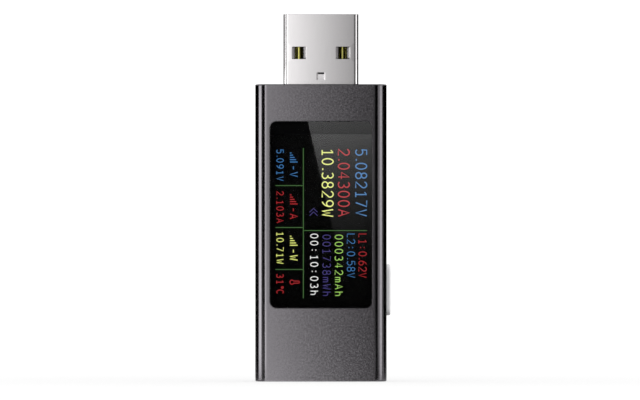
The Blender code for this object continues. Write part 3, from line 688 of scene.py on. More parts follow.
def make_case():
    """The sleeve: outer skin with rounded rims, bore, lens pocket, button slot and two board rails."""
    foot, head = CASE_LOW[2], CASE_HIGH[2]
    inset, rise = quarter_round(CASE_END_BREAK, CASE_BREAK_STEPS)
    ends = (foot + CASE_END_BREAK, head - CASE_END_BREAK)
    heights = np.linspace(ends[0] + CASE_HOLD, ends[1] - CASE_HOLD, CASE_ROWS - 1)
    heights = np.array([ends[0], *heights, ends[1]])
    upright = [(0.0, z) for z in heights]
    outer = case_rings(upright)
    inner = bore_rings(upright)
    outer_front, outer_side = straights(outer[0])
    inner_front, inner_side = straights(inner[0])
    front = (1, (outer_front, CASE_LOW[1]), (inner_front, BORE_LOW[1]))
    side = (0, (outer_side, CASE_HIGH[0]), (inner_side, BORE_HIGH[0]))
    patches = [
        loft(bore_rings([(0.0, ends[0]), (0.0, foot)]) + case_rings(zip(inset, foot + rise))),
        loft(bore_rings([(0.0, ends[1]), (0.0, head)]) + case_rings(zip(inset, head - rise))),
        *bands(outer, *CASE_TURNS, CASE_ARC),
        *bands(inner, *CASE_TURNS, CASE_ARC),
        pierced_wall(*front, heights, lens_openings()),
        pierced_wall(*side, heights, slot_openings()),
    ]
    caps = []
    rail_front = BOARD_HIGH[1] + SEAT_GAP
    for hand, rail_foot in ((-1, BOARD_LOW[2]), (1, BUTTON_HIGH[2] + FIT_GAP)):
        left, right = np.sort(hand * np.array([BORE_HIGH[0] - RAIL_WIDTH, BORE_HIGH[0] + FIT_GAP]))
        rail_back = rail_front + RAIL_DEPTH
        rail, rail_ends = block((left, rail_front, rail_foot), (right, rail_back, BOARD_HIGH[2]))
        patches.append(rail)
        caps.extend(rail_ends)
    piece("case_sleeve", patches, caps, "anodised_metal", ["case_tube"])


# End caps


def make_end_cap(node, hole_low, hole_high, radius):
    """A plate round a connector: its outline and its opening are lofted into one ring with soft edges."""
    low, high = corners(node)
    edges = both_ends(*quarter_round(CAP_EDGE, CAP_EDGE_STEPS), low[2], high[2])
    let_out = [(-i, z) for i, z in edges]
    steps = (CAP_COUNTS, CAP_ARC)
    outside = rings(low[:2], high[:2], CASE_BORE_RADIUS, *steps, edges)
    inside = rings(hole_low - FIT_GAP, hole_high + FIT_GAP, radius, *steps, let_out)
    rows = outside + inside[::-1] + outside[:1]
    piece(node + "_moulding", [loft(rows)], (), "black_plastic", [node])


# Lens and display


def make_lens():
    """The lens: a rounded slab with fine polished edges."""
    grid, caps = slab(LENS_LOW, LENS_HIGH, 1, LENS_CORNER_RADIUS, LENS_EDGE, LENS_COUNTS, LENS_ARC)
    thing = piece("clear_lens", [grid], caps, "lens_acrylic", ["display_lens"])
    thing.visible_shadow = False
    return thing


def make_polariser():
    """The dark film on the display glass, short of the glass at the head."""
    margin = LEDGE_WIDTH + POLARISER_MARGIN
    front = POLARISER_BACK - POLARISER_THICKNESS
    low = np.array([LENS_LOW[0] + margin, front, LENS_LOW[2] + margin])
    high = np.array([LENS_HIGH[0] - margin, POLARISER_BACK, POLARISER_HEAD_Z])
    grid, caps = slab(low, high, 1, POLARISER_CORNER, POLARISER_EDGE)
    return piece("lcd_polariser", [grid], caps, "display_glass", finish=FINISHES["polariser_film"])


def film_loops(outline, layer):
    """An outline at the front and at the back of a printed film behind the lens, counted from the lens."""
    front = LENS_HIGH[1] + layer * PRINT_STAND_OFF + (layer - 1) * PRINT_THICKNESS
    return [lay(outline, 1, front), lay(outline, 1, front + PRINT_THICKNESS)]


def lens_outline(inset, radius):
    """The lens's outline drawn in by an inset, with corners of a radius."""
    low = LENS_LOW[FRONT_AXES] + inset
    high = LENS_HIGH[FRONT_AXES] - inset
    return rounded_loop(low, high, radius, LENS_COUNTS, LENS_ARC)


PRINT_OUTLINE = lens_outline(LENS_EDGE, LENS_CORNER_RADIUS - LENS_EDGE)


def make_head_print():
    """The dull black head of the print: the outline above the display, its foot drawn straight."""
    outline = PRINT_OUTLINE.copy()
    outline[:, 1] = np.maximum(outline[:, 1], POLARISER_HEAD_Z)
    loops = film_loops(outline, 1)
    return piece("lens_head_print", [loft(loops)], loops, "display_glass", finish=FINISHES["head_print"])


def make_border_print():
    """The black border on the lens's back: a flat ring from the lens's edge to the display's edge."""
    inset = LEDGE_WIDTH + POLARISER_MARGIN + PRINT_OVERLAP
    outside = film_loops(PRINT_OUTLINE, 2)
    inside = film_loops(lens_outline(inset, LENS_CORNER_RADIUS), 2)
    grid = loft([*outside, *inside[::-1], outside[0]])
    return piece("lens_border_print", [grid], (), "display_glass", finish=FINISHES["lens_print"])


def line(*points):
    """A stroke of straight runs between points."""
    return np.array(points, float)


def arc(x, y, radius_x, radius_y, start, end, steps=16):
    """A stroke round part of an oval, between two angles in degrees."""
    angle = np.radians(np.linspace(start, end, steps + 1))
    return np.stack([x + radius_x * np.cos(angle), y + radius_y * np.sin(angle)], axis=1)


def run(*strokes):
    """Strokes joined into one."""
    return np.concatenate(strokes)


# The strokes of each sign, in a cell one high
BAR_TOPS = np.array([0.2, 0.4, 0.6, 0.8, 1.0])
BAR_PLACES = 0.06 + 1.4 * (BAR_TOPS - BAR_TOPS[0])
SIGNS = {
    "0": [arc(0.28, 0.5, 0.25, 0.5, 0, 360, 28)],
    "1": [line((0.10, 0.80), (0.31, 1.0), (0.31, 0.0)), line((0.10, 0.0), (0.52, 0.0))],
    "2": [run(arc(0.28, 0.73, 0.25, 0.27, 165, -30), line((0.02, 0.0), (0.55, 0.0)))],
    "3": [arc(0.26, 0.755, 0.23, 0.245, 145, -90), arc(0.26, 0.255, 0.27, 0.255, 90, -145)],
    "4": [line((0.40, 0.0), (0.40, 1.0), (0.01, 0.28), (0.57, 0.28))],
    "5": [run(line((0.50, 1.0), (0.10, 1.0), (0.07, 0.53)), arc(0.27, 0.32, 0.26, 0.32, 125, -140))],
    "6": [arc(0.28, 0.30, 0.25, 0.30, 0, 360, 24), arc(0.55, 0.30, 0.52, 0.70, 180, 102)],
    "7": [line((0.02, 1.0), (0.54, 1.0), (0.20, 0.0))],
    "8": [arc(0.28, 0.755, 0.21, 0.245, 5, 365, 24), arc(0.28, 0.255, 0.26, 0.255, 0, 360, 24)],
    "9": [arc(0.28, 0.70, 0.25, 0.30, 0, 360, 24), arc(0.01, 0.70, 0.52, 0.70, 0, -78)],
    ".": [line((x, 0.0), (x, 0.10)) for x in (0.10, 0.16)],
    ":": [line((x, foot), (x, foot + 0.10)) for x in (0.23, 0.29) for foot in (0.18, 0.66)],
    "-": [line((0.10, 0.45), (0.46, 0.45))],
    "V": [line((0.02, 1.0), (0.28, 0.0), (0.54, 1.0))],
    "A": [line((0.0, 0.0), (0.28, 1.0), (0.56, 0.0)), line((0.10, 0.34), (0.46, 0.34))],
    "W": [line((0.0, 1.0), (0.14, 0.0), (0.29, 0.72), (0.44, 0.0), (0.58, 1.0))],
    "C": [arc(0.32, 0.5, 0.29, 0.5, 48, 312)],
    "L": [line((0.10, 1.0), (0.10, 0.0), (0.50, 0.0))],
    "h": [line((0.06, 1.0), (0.06, 0.0)), run(arc(0.27, 0.42, 0.21, 0.22, 180, 0), line((0.48, 0.0)))],
    "m": [
        line((0.01, 0.64), (0.01, 0.0)),
        run(arc(0.145, 0.46, 0.135, 0.18, 180, 0), line((0.28, 0.0))),
        run(arc(0.415, 0.46, 0.135, 0.18, 180, 0), line((0.55, 0.0))),
    ],
    "degree": [arc(0.20, 0.84, 0.13, 0.14, 0, 360)],
    "chevron": [line((0.50, 1.0), (0.05, 0.5), (0.50, 0.0))],
    "bars": [line((x, 0.0), (x, top)) for x, top in zip(BAR_PLACES, BAR_TOPS)],
    "thermometer": [
        arc(0.45, 0.21, 0.21, 0.21, 120, 420, 24),
        run(line((0.345, 0.39)), arc(0.45, 0.89, 0.105, 0.11, 180, 0), line((0.555, 0.39))),
    ],
}

# How much of a style's pitch a sign takes, where that isn't all of it
CELL_SHARES = {".": 0.5, "degree": 0.6, "bars": 1.5, "-": 0.75}

# Each style: its height, pitch and stroke width in millimetres
BIG = (1.75, 1.49, 0.19)
SMALL = (1.06, 0.975, 0.13)
MIDDLE = (1.22, 0.98, 0.12)
WIDE = (1.225, 1.135, 0.13)
CLOCK = (1.18, 1.135, 0.125)
ICON = (1.22, 1.40, 0.16)
TALL_ICON = (1.5, 1.35, 0.14)
ARROWS = (1.25, 0.55, 0.13)

# Each reading: its name, colour, signs, place across and up in millimetres, and style
READINGS = (
    ("voltage_reading", "blue", "5.08217V", 5.56, 37.15, BIG),
    ("current_reading", "red", "2.04300A", 2.78, 37.15, BIG),
    ("power_reading", "yellow", "10.3829W", 0.20, 37.15, BIG),
    ("flow_chevrons", "indigo", ("chevron", "chevron"), -1.805, 27.72, ARROWS),
    ("peak_voltage_icon", "deep_blue", ("bars", "-", "V"), -4.95, 36.6, ICON),
    ("peak_voltage", "deep_blue", "5.091V", -7.06, 37.1, SMALL),
    ("peak_current_icon", "deep_red", ("bars", "-", "A"), -4.95, 29.9, ICON),
    ("peak_current", "deep_red", "2.103A", -7.06, 30.4, SMALL),
    ("peak_power_icon", "deep_yellow", ("bars", "-", "W"), -4.95, 23.3, ICON),
    ("peak_power", "deep_yellow", "10.71W", -7.06, 23.9, SMALL),
    ("temperature_icon", "deep_red", ("thermometer",), -4.95, 16.6, TALL_ICON),
    ("temperature_reading", "deep_red", ("3", "1", "degree", "C"), -7.06, 17.2, SMALL),
    ("first_line_voltage", "deep_red", "L1:0.62V", 6.05, 23.7, MIDDLE),
    ("second_line_voltage", "deep_blue", "L2:0.58V", 4.195, 23.7, MIDDLE),
    ("charge_reading", "lime", "000342mAh", 2.26, 23.45, WIDE),
    ("energy_reading", "indigo", "001738mWh", 0.305, 23.45, WIDE),
    ("time_reading", "white", "00:10:03h", -1.655, 23.6, CLOCK),
)

# The rules between the readings, each from one place to another across and up in millimetres
RULES = (
    ((-2.81, 37.3), (-2.81, 13.3)),
    ((-7.26, 31.3), (-2.91, 31.3)),
    ((-7.26, 24.6), (-2.91, 24.6)),
    ((-7.26, 17.9), (-2.91, 17.9)),
    ((-2.71, 24.12), (7.35, 24.12)),
)


def ribbon(stroke, width):
    """A stroke as a thin closed bar: a flat box section carried along the stroke, square to its travel."""
    travel = np.gradient(stroke, axis=0)
    travel /= np.linalg.norm(travel, axis=1, keepdims=True)
    aside = np.stack([-travel[:, 1], travel[:, 0]], axis=1) * width / 2
    front = GLYPH_BACK - GLYPH_THICKNESS
    sides = ((aside, front), (-aside, front), (-aside, GLYPH_BACK), (aside, GLYPH_BACK))
    loops = np.stack([lay(stroke + offset, 1, level) for offset, level in sides], axis=1)
    return loft(loops), (loops[0], loops[-1])


def write(signs, x, z, height, pitch, width):
    """Signs in a line that runs down the display with their tops to the right, as bars."""
    bars = []
    for sign in signs:
        for stroke in SIGNS[sign]:
            across = x + stroke[:, 1] * height
            down = z - stroke[:, 0] * height * GLYPH_ASPECT
            bars.append(ribbon(np.stack([across, down], axis=1), width))
        z -= pitch * CELL_SHARES.get(sign, 1.0)
    return bars


def make_readings():
    """The lit readings and the rules between them, on the face of the dark film."""
    lights = {name: lit("lit_" + name, colour) for name, colour in DISPLAY_COLOURS.items()}
    marks = [
        (name, colour, write(signs, *(np.array([x, z, *style]) * MM)))
        for name, colour, signs, x, z, style in READINGS
    ]
    marks.append(("display_rules", "green", [ribbon(rule, RULE_WIDTH) for rule in np.array(RULES) * MM]))
    for name, colour, bars in marks:
        grids = [grid for grid, _ in bars]
        caps = [cap for _, ends in bars for cap in ends]
        piece(name, grids, caps, "display_glass", finish=lights[colour])


# Plug

PLUG_SECTION = (np.array([PLUG_LOW[0], PLUG_FRONT]), np.array([PLUG_HIGH[0], PLUG_BACK]))
PLUG_COUNTS = (PLUG_STRAIGHT + 2 * PLUG_ARC, PLUG_SIDE + 2 * PLUG_ARC)
plug_rings = partial(rings, *PLUG_SECTION, PLUG_CORNER_RADIUS, PLUG_COUNTS, PLUG_ARC)


def plug_sides(inset, heights):
    """The two rounded sides of the shell, between the front wall and the back wall, as two grids."""
    front_end = PLUG_ARC + PLUG_STRAIGHT
    back_start = front_end + 4 * PLUG_ARC + PLUG_SIDE
    loops = plug_rings([(inset, z) for z in heights])
    return bands(loops, front_end, back_start, back_start + PLUG_STRAIGHT, PLUG_ARC)


def window_loops(x, counts, face, inward):
    """A contact window's edge: its sides bend in round a short arc, slope inwards and end in the cut sheet.

    On the bend the half width shrinks as the sine of the turn and the depth grows as one minus the cosine.
    """
    turn = np.linspace(0, FOLD_ANGLE, FOLD_STEPS + 1)
    half_widths = [WINDOW_HALF_WIDTH + WINDOW_RIM, *(WINDOW_HALF_WIDTH - FOLD_BEND * np.sin(turn))]
    depths = [0.0, *(FOLD_BEND * (1 - np.cos(turn)))]
    opening = WINDOW_HALF_WIDTH - WINDOW_FOLD
    fold_depth = depths[-1] + (half_widths[-1] - opening) * np.tan(FOLD_ANGLE)
    half_widths += [opening, opening, WINDOW_HALF_WIDTH + FIT_GAP]
    depths += [fold_depth, fold_depth + PLUG_WALL * np.cos(FOLD_ANGLE), PLUG_WALL]
    half_lengths = np.full(len(depths), WINDOW_HALF_LENGTH)
    half_lengths[0] += WINDOW_RIM
    radii = np.linspace(WINDOW_CORNER + WINDOW_RIM, WINDOW_CORNER / 2, len(depths))
    rows = [
        ((x - half, WINDOW_Z - length), (x + half, WINDOW_Z + length), radius, face + inward * depth)
        for half, length, depth, radius in zip(half_widths, half_lengths, depths, radii)
    ]
    return outlines(rows, counts, WINDOW_ARC, 1)


def dent_loops(counts, face, inward):
    """The pressed dent and the slit at its head: the sheet slopes in round three sides, up to the slit.

    The dent's floor sinks in a straight line from the slope's foot to the slit, which pierces the sheet.
    """
    head = PLUG_HIGH[2] - TAB_FROM_TIP
    slit_foot = head - TAB_SLIT
    foot = slit_foot - TAB_LENGTH
    rims = (TAB_SLOPE + WINDOW_RIM, TAB_SLOPE, TAB_EDGE_RIM)
    sinks = (0.0, 0.0, TAB_EDGE_SINK)
    rows = []
    for rim, sink in zip(rims, sinks):
        low = (-TAB_HALF_WIDTH - rim, foot - rim)
        high = (TAB_HALF_WIDTH + rim, head + min(rim, WINDOW_RIM) + sink / 4)
        rows.append((low, high, TAB_CORNER, face + inward * sink))
    slit = ((-TAB_HALF_WIDTH, slit_foot), (TAB_HALF_WIDTH, head), TAB_CORNER)
    rows += [(*slit, face + inward * sink) for sink in (TAB_SINK, PLUG_WALL)]
    return outlines(rows, counts, TAB_ARC, 1)


def plug_wall(face, inward, columns, rows, holes):
    """The front or back wall of the shell in cells, both faces; a hole joins the two faces of its cell."""
    levels = (face, face + inward * PLUG_WALL)
    patches = []
    for c, across in enumerate(columns):
        for r, up in enumerate(rows):
            if (c, r) not in holes:
                patches += [flat(across, up, 1, level) for level in levels]
                continue
            edge = rectangle_loop(across, up)
            through = holes[c, r]((len(across) - 1, len(up) - 1), face, inward)
            patches.append(loft([lay(edge, 1, levels[0]), *through, lay(edge, 1, levels[1])]))
    return patches


def plug_heights():
    """The heights of the shell's rows, in runs that fit the tab and the windows, without the rounded lip."""
    tip = PLUG_HIGH[2]
    tab = tip - TAB_FROM_TIP - (TAB_SLIT + TAB_LENGTH) / 2
    window = (WINDOW_Z - WINDOW_CELL[0], WINDOW_Z + WINDOW_CELL[1])
    stops = (PLUG_LOW[2], tab - TAB_CELL_HALF, tab + TAB_CELL_HALF, *window, tip - PLUG_LIP)
    return [np.linspace(a, b, n + 1) for a, b, n in zip(stops, stops[1:], PLUG_ROWS)]


def make_plug_shell():
    """The plug's folded shell: rounded sides, pierced walls, a rounded lip, the pressed dent and the legs.

    The lip is half a turn from the outer to the inner face: inset as the cosine, height as the sine.
    """
    runs = plug_heights()
    heights = np.concatenate([runs[0]] + [run_up[1:] for run_up in runs[1:]])
    across = plug_rings([(0.0, 0.0)])[0][PLUG_ARC : PLUG_ARC + PLUG_STRAIGHT + 1, 0]
    third = PLUG_STRAIGHT // 3
    breaks = (0, third, PLUG_STRAIGHT - third, PLUG_STRAIGHT)
    columns = [across[a : b + 1] for a, b in zip(breaks, breaks[1:])]
    window_x = corners("plug_contact_ground")[0][0] + CONTACT_WIDTH / 2
    windows = {(c, WINDOW_RUN): partial(window_loops, x) for c, x in ((0, -window_x), (2, window_x))}
    turn = np.linspace(0, np.pi, PLUG_LIP_STEPS + 1)
    insets = PLUG_WALL / 2 - PLUG_WALL / 2 * np.cos(turn)
    levels = heights[-1] + PLUG_LIP * np.sin(turn)
    patches = [
        *plug_wall(PLUG_FRONT, 1, columns, runs, windows | {(1, TAB_RUN): dent_loops}),
        *plug_wall(PLUG_BACK, -1, columns, runs, windows),
        *plug_sides(0.0, heights),
        *plug_sides(PLUG_WALL, heights),
        loft(plug_rings(zip(insets, levels))),
        loft(plug_rings([(0.0, heights[0]), (PLUG_WALL, heights[0])])),
    ]
    caps = []
    foot = PLUG_LOW[2] + LEG_FROM_END
    back = PLUG_FRONT + PLUG_CORNER_RADIUS
    for hand in (-1, 1):
        x = hand * (PLUG_HIGH[0] - PLUG_WALL / 2)
        leg, leg_ends = block((x - FIT_GAP, PLUG_LOW[1], foot), (x + FIT_GAP, back, foot + LEG_WIDTH))
        patches.append(leg)
        caps.extend(leg_ends)
    piece("plug_sheet", patches, caps, "plated_steel", ["plug_shell"])


# Contacts


def make_contact(node):
    """A contact strip: a section with a crowned face, carried along the tongue, and a tail to the board.

    The face falls back from its crown as the square of the place across, and at the tip it tucks in as the
    square of what is left of the nose.
    """
    low, high = corners(node)
    x = (low[0] + high[0]) / 2
    face = high[1] - CONTACT_THICKNESS
    across = np.linspace(-1, 1, CONTACT_STEPS + 1)
    crown = CONTACT_CROWN * across ** 2
    back = np.maximum(CONTACT_THICKNESS, crown + CONTACT_EDGE)
    half = CONTACT_WIDTH / 2
    section = np.stack([x + half * across, face + crown], axis=1)
    behind = np.stack([x + half * across, face + back], axis=1)
    section = np.concatenate([section, behind[::-1]])
    along = np.linspace(0, 1, CONTACT_ROWS + 1)
    tuck = np.clip(1 - along * NOSES_IN_LENGTH, 0, 1) ** 2 * CONTACT_CROWN
    levels = high[2] + (low[2] - high[2]) * along
    loops = [lay(section + (0.0, t), 2, level) for t, level in zip(tuck, levels)]
    tail, ends = block((x - half, low[1], low[2]), (x + half, high[1], low[2] + CONTACT_THICKNESS))
    piece(node + "_strip", [loft(loops), tail], [loops[0], loops[-1], *ends], "gold_plate", [node])


# Button


def make_button():
    """The side button: a bar with a soft crown, and the flange behind the wall that keeps it in."""
    flange_out = BUTTON_LOW[0] + FLANGE_THICKNESS
    bar_low = np.array([flange_out - FLANGE_THICKNESS / 2, *(BUTTON_MIDDLE - BAR_HALF)])
    bar_high = np.array([BUTTON_HIGH[0], *(BUTTON_MIDDLE + BAR_HALF)])
    flange_high = np.array([flange_out, *BUTTON_HIGH[1:]])
    bar_steps = (BAR_COUNTS, BAR_ARC, BAR_EDGE_STEPS)
    flange_steps = (FLANGE_COUNTS, FLANGE_ARC)
    bar, bar_ends = slab(bar_low, bar_high, 0, BUTTON_CORNER_RADIUS, BUTTON_EDGE, *bar_steps)
    flange, ends = slab(BUTTON_LOW, flange_high, 0, BUTTON_CORNER_RADIUS, FLANGE_EDGE, *flange_steps)
    piece("button_bar", [bar, flange], [*bar_ends, *ends], "pale_plastic", ["side_button"], "button")


# Snap dome in the switch


def make_dome():
    """The snap dome: thin sheet turned about the plunger's line.

    Its rise falls as one minus the square of the distance from its middle, on both faces of the sheet.
    """
    low, high = corners("switch_dome")
    reach = np.linspace(0, 1, DOME_RINGS + 1)
    inner = low[0] + (high[0] - low[0] - DOME_SHEET) * (1 - reach ** 2)
    level = np.concatenate([inner, inner[::-1] + DOME_SHEET])[:, None]
    radius = (high[1] - low[1]) / 2 * np.concatenate([reach, reach[::-1]])[:, None]
    angle = np.linspace(0, 4 * QUARTER, DOME_STEPS + 1)
    middle = (low + high) / 2
    points = [level, middle[1] + radius * np.cos(angle), middle[2] + radius * np.sin(angle)]
    grid = np.stack(np.broadcast_arrays(*points), axis=-1)
    thing = piece("snap_dome", [grid], (), "can_metal", ["switch_dome"])
    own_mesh(thing)


# Put the pieces together


def dress_nodes():
    """Every CAD node takes the finish of its own material slot."""
    for row in frame["record"]["subparts"]:
        node = frame["nodes"][row["node"]]
        node.data.materials.clear()
        node.data.materials.append(FINISHES[row["material_slot"]])


dress_nodes()
make_case()
make_end_cap("plug_end_cap", *PLUG_SECTION, PLUG_CORNER_RADIUS)
make_end_cap("socket_end_cap", SOCKET_LOW[:2], SOCKET_HIGH[:2], SOCKET_CORNER)
LENS = make_lens()
POLARISER = make_polariser()
PRINTS = [make_head_print(), make_border_print()]
SCREEN = [LENS, *PRINTS, POLARISER, frame["nodes"]["lcd_glass"], frame["nodes"]["lens_tape"]]
make_readings()
make_plug_shell()
for role in ("power", "data_minus", "data_plus", "ground"):
    make_contact("plug_contact_" + role)
make_button()
make_dome()


# Stage: floor, backdrop, cards, flags, lamps and camera

FLOOR_HALF = 3.0
FLOOR_FRONT = -3.0
FLOOR_BACK = 2.8
COVE_RADIUS = 0.3
COVE_STEPS = 24
WALL_HEAD = 1.8
PAPER_LEVEL = 0.62
PAPER_ROUGHNESS = 0.9
PAPER_LIFT = (0.6, 0.8)
PAPER_LIFT_REACH = (0.05, 0.5)

# Cards: a spread is a range of angles from straight ahead round to one side
CARD_FOOT = 1 * MM
FLOOR_CARD_Z = 0.04 * MM
GRADIENT_Y = -56 * MM
GRADIENT_X = (-28.2 * MM, 11.5 * MM)
GRADIENT_HEAD = 100 * MM
GRADIENT_ROOT = 0.89
GRADIENT_FLOOR_ROOT = 1.06
GRADIENT_SLOPE = 0.0395 / MM
GRADIENT_FOOT_GAIN = 1.22
GRADIENT_EVEN_Z = 25 * MM
SOFTBOX_X = 110 * MM
SOFTBOX_STEP = 49.6 * MM
SOFTBOX_HEAD = 130 * MM
LEFT_SPREAD = np.radians((58.0, 87.5))
RIGHT_SPREAD = np.radians((50.0, 75.0))
PLUG_RIGHT_SPREAD = np.radians((57.0, 78.0))
LOW_BOX = (CARD_FOOT, SOFTBOX_STEP)
PLUG_BOX = (SOFTBOX_STEP, SOFTBOX_HEAD)
WEDGE_START = 0.32

# The soft boxes: name, side, spread, foot and head, strength
SOFTBOXES = (
    ("left", -1, LEFT_SPREAD, LOW_BOX, 4.6),
    ("right", 1, RIGHT_SPREAD, LOW_BOX, 2.95),
    ("plug_left", -1, LEFT_SPREAD, PLUG_BOX, 1.5),
    ("plug_right", 1, PLUG_RIGHT_SPREAD, PLUG_BOX, 1.6),
)

# The strips on the floor before the low boxes: name, side, spread, strength
WEDGES = (
    ("left_floor", -1, LEFT_SPREAD, 3.4),
    ("right_floor", 1, RIGHT_SPREAD, 2.95),
)

# Flags
FLOOR_FLAG_Z = 0.02 * MM
FLAG_FAR = 1200 * MM
FLAG_HEAD = 300 * MM
FLAG_STEPS = 24
SECTOR_STEPS = 8
SIDE_LANE_SLOPE = np.tan(np.radians(3.5))
CORNER_LANE_HALF = 16 * MM
LENS_FLAG_X = (-9 * MM, 12 * MM)
LENS_FLAG_REACH = (14 * MM, 92 * MM)
SECTOR_REACH = (14 * MM, 220 * MM)
FRONT_FLAG_X = (-265 * MM, 125 * MM)
FRONT_FLAG_Y = -200 * MM
FRONT_FLAG_HEAD = 160 * MM
OVERHEAD_Z = 105 * MM
OVERHEAD_SPAN = (-60 * MM, 60 * MM)

# The flags at each side: name, side, spread, spread on the floor in front, half of the lane aside
SIDE_FLAGS = (
    ("left_flag", -1, np.radians((86.0, 168.0)), np.radians((16.0, 34.0)), 0.0),
    ("right_flag", 1, np.radians((80.0, 168.0)), np.radians((13.0, 42.0)), 6 * MM),
)

# Camera, lamps and world
CAMERA_LENS = 800.0
CAMERA_SENSOR = 36.0
CAMERA_RANGE = (0.01, 10.0)
VIEW_WIDTH = 102.2 * MM
CAMERA_X = -0.15 * MM
CAMERA_Y = CASE_LOW[1] - VIEW_WIDTH * CAMERA_LENS / CAMERA_SENSOR
CAMERA_Z = 29.0 * MM
GLARE_EDGE_FOOT = np.array([4.86, 11.75]) * MM
GLARE_EDGE_HEAD = np.array([-2.09, 41.5]) * MM
GLARE_STAND_OFF = 30 * MM
GLARE_SIZE = (22 * MM, 36 * MM)
GLARE_OVERRUN = 1 * MM
GLARE_POWER = 0.0022
GLARE_FALL = 3.8
TOP_LAMP_SIZE = 0.7
TOP_LAMP_PLACE = (0.0, 0.0, 0.7)
TOP_LAMP_POWER = 3.0
SIDE_LAMP_SIZE = 0.3
SIDE_LAMP_PLACE = (0.43, -0.25, 0.2)
SIDE_LAMP_POWER = 1.3
WORLD_LEVEL = 0.65


def staged(name, patches, material):
    """An object of the stage, which is no part of the meter."""
    thing = put(name, skin(name, patches))
    thing.data.materials.append(material)
    return thing


def gloss_card(name, patches, material):
    """A card or a flag for gloss alone to see, straight or through the lens."""
    thing = staged(name, patches, material)
    thing.visible_camera = False
    thing.visible_shadow = False
    thing.visible_diffuse = False
    return thing


def card(name, across, up, axis, level, material):
    """A flat card at one level along an axis, for gloss alone."""
    return gloss_card(name, [flat(np.array(across), np.array(up), axis, level)], material)


def link_light(light, things, state):
    """Limit which pieces a light reaches: only these, or all but these."""
    receivers = bpy.data.collections.new(light.name + "_receivers")
    for thing in things:
        receivers.objects.link(thing)
    for member in receivers.collection_objects:
        member.light_linking.link_state = state
    light.light_linking.receiver_collection = receivers


def seen_rays(tree):
    """One for rays from the camera, from gloss and through glass, and nought for the rest."""
    rays = add(tree, "ShaderNodeLightPath").outputs
    camera_or_gloss = maths(tree, "MAXIMUM", rays["Is Camera Ray"], rays["Is Glossy Ray"])
    return maths(tree, "MAXIMUM", camera_or_gloss, rays["Is Transmission Ray"])


def make_floor():
    """A pale floor that curves up into a backdrop: straight, a quarter circle, then straight up."""
    material, tree, sockets = new_finish("pale_paper", (PAPER_LEVEL,) * 3, PAPER_ROUGHNESS, gloss=0.0)
    reach = add(tree, "ShaderNodeVectorMath", place_on(tree), operation="LENGTH").outputs["Value"]
    lift = between(tree, reach, *PAPER_LIFT, *PAPER_LIFT_REACH)
    shown = maths(tree, "MULTIPLY", seen_rays(tree), lift)
    feed(tree, sockets, {"Emission Color": WHITE, "Emission Strength": shown})
    turn = np.linspace(0, QUARTER, COVE_STEPS + 1)
    wall = FLOOR_BACK + COVE_RADIUS
    y = np.concatenate([[FLOOR_FRONT], FLOOR_BACK + COVE_RADIUS * np.sin(turn), [wall]])
    z = np.concatenate([[0.0], COVE_RADIUS * (1 - np.cos(turn)), [WALL_HEAD]])
    profile = np.stack([y, z], axis=1)
    grid = np.stack([lay(profile, 0, -FLOOR_HALF), lay(profile, 0, FLOOR_HALF)], axis=1)
    return staged("floor_and_backdrop", [grid], material)


def glow(name, strength, root=None):
    """Plain light of one strength, black where it is nought, or light that fades across from a root."""
    material = bpy.data.materials.new(name)
    material.use_nodes = True
    tree = material.node_tree
    tree.nodes.clear()
    light = add(tree, "ShaderNodeEmission", WHITE, fade_across(tree, root) if root else strength)
    add(tree, "ShaderNodeOutputMaterial", light.outputs[0])
    return material


def fade_across(tree, root):
    """Light that fades along X and gains towards the foot: the root less a slope times X, squared."""
    x, _, z = axes_of(tree, place_on(tree))
    square = maths(tree, "POWER", maths(tree, "MULTIPLY_ADD", x, -GRADIENT_SLOPE, root), 2.0)
    gain = between(tree, z, GRADIENT_FOOT_GAIN, 1.0, 0.0, GRADIENT_EVEN_Z)
    return maths(tree, "MULTIPLY", square, gain)


def softbox_span(spread):
    """Where a spread cuts the plane of the soft boxes."""
    return CASE_LOW[1] - (SOFTBOX_X - CASE_HIGH[0]) / np.tan(spread)


def floor_wedge(side, spread):
    """The outer part of the strip on the floor from the sleeve's round edge to the soft box it mirrors."""
    near_x = FLAT_HALF + CASE_EDGE_RADIUS * np.sin(spread / 2)
    near_y = CASE_LOW[1] + CASE_EDGE_RADIUS * (1 - np.cos(spread / 2))
    start = np.stack([side * near_x, near_y], axis=1)
    far = np.stack([np.full(2, side * SOFTBOX_X), softbox_span(spread)], axis=1)
    return lay(np.stack([start + (far - start) * WEDGE_START, far]), 2, FLOOR_CARD_Z)


def graded_floor():
    """The flat trapezium on the floor from the flat of the sleeve's front to the graded card's foot."""
    back = CASE_LOW[1] + CASE_WALL
    start = np.array([(-FLAT_HALF, back), (FLAT_HALF, back)])
    far = np.stack([np.array(GRADIENT_X), np.full(2, GRADIENT_Y)], axis=1)
    return lay(np.stack([start, far]), 2, FLOOR_CARD_Z)


def round_about(side, spread, steps):
    """Directions over a spread: the sine and minus the cosine of the angle from straight ahead."""
    angle = np.linspace(*spread, steps + 1)
    return np.stack([side * np.sin(angle), -np.cos(angle)], axis=1)


def bent_flag(side, spread):
    """An upright flag bent round the meter at one distance."""
    ring = FLAG_FAR * round_about(side, spread, FLAG_STEPS)
    return np.stack([lay(ring, 2, CARD_FOOT), lay(ring, 2, FLAG_HEAD)])


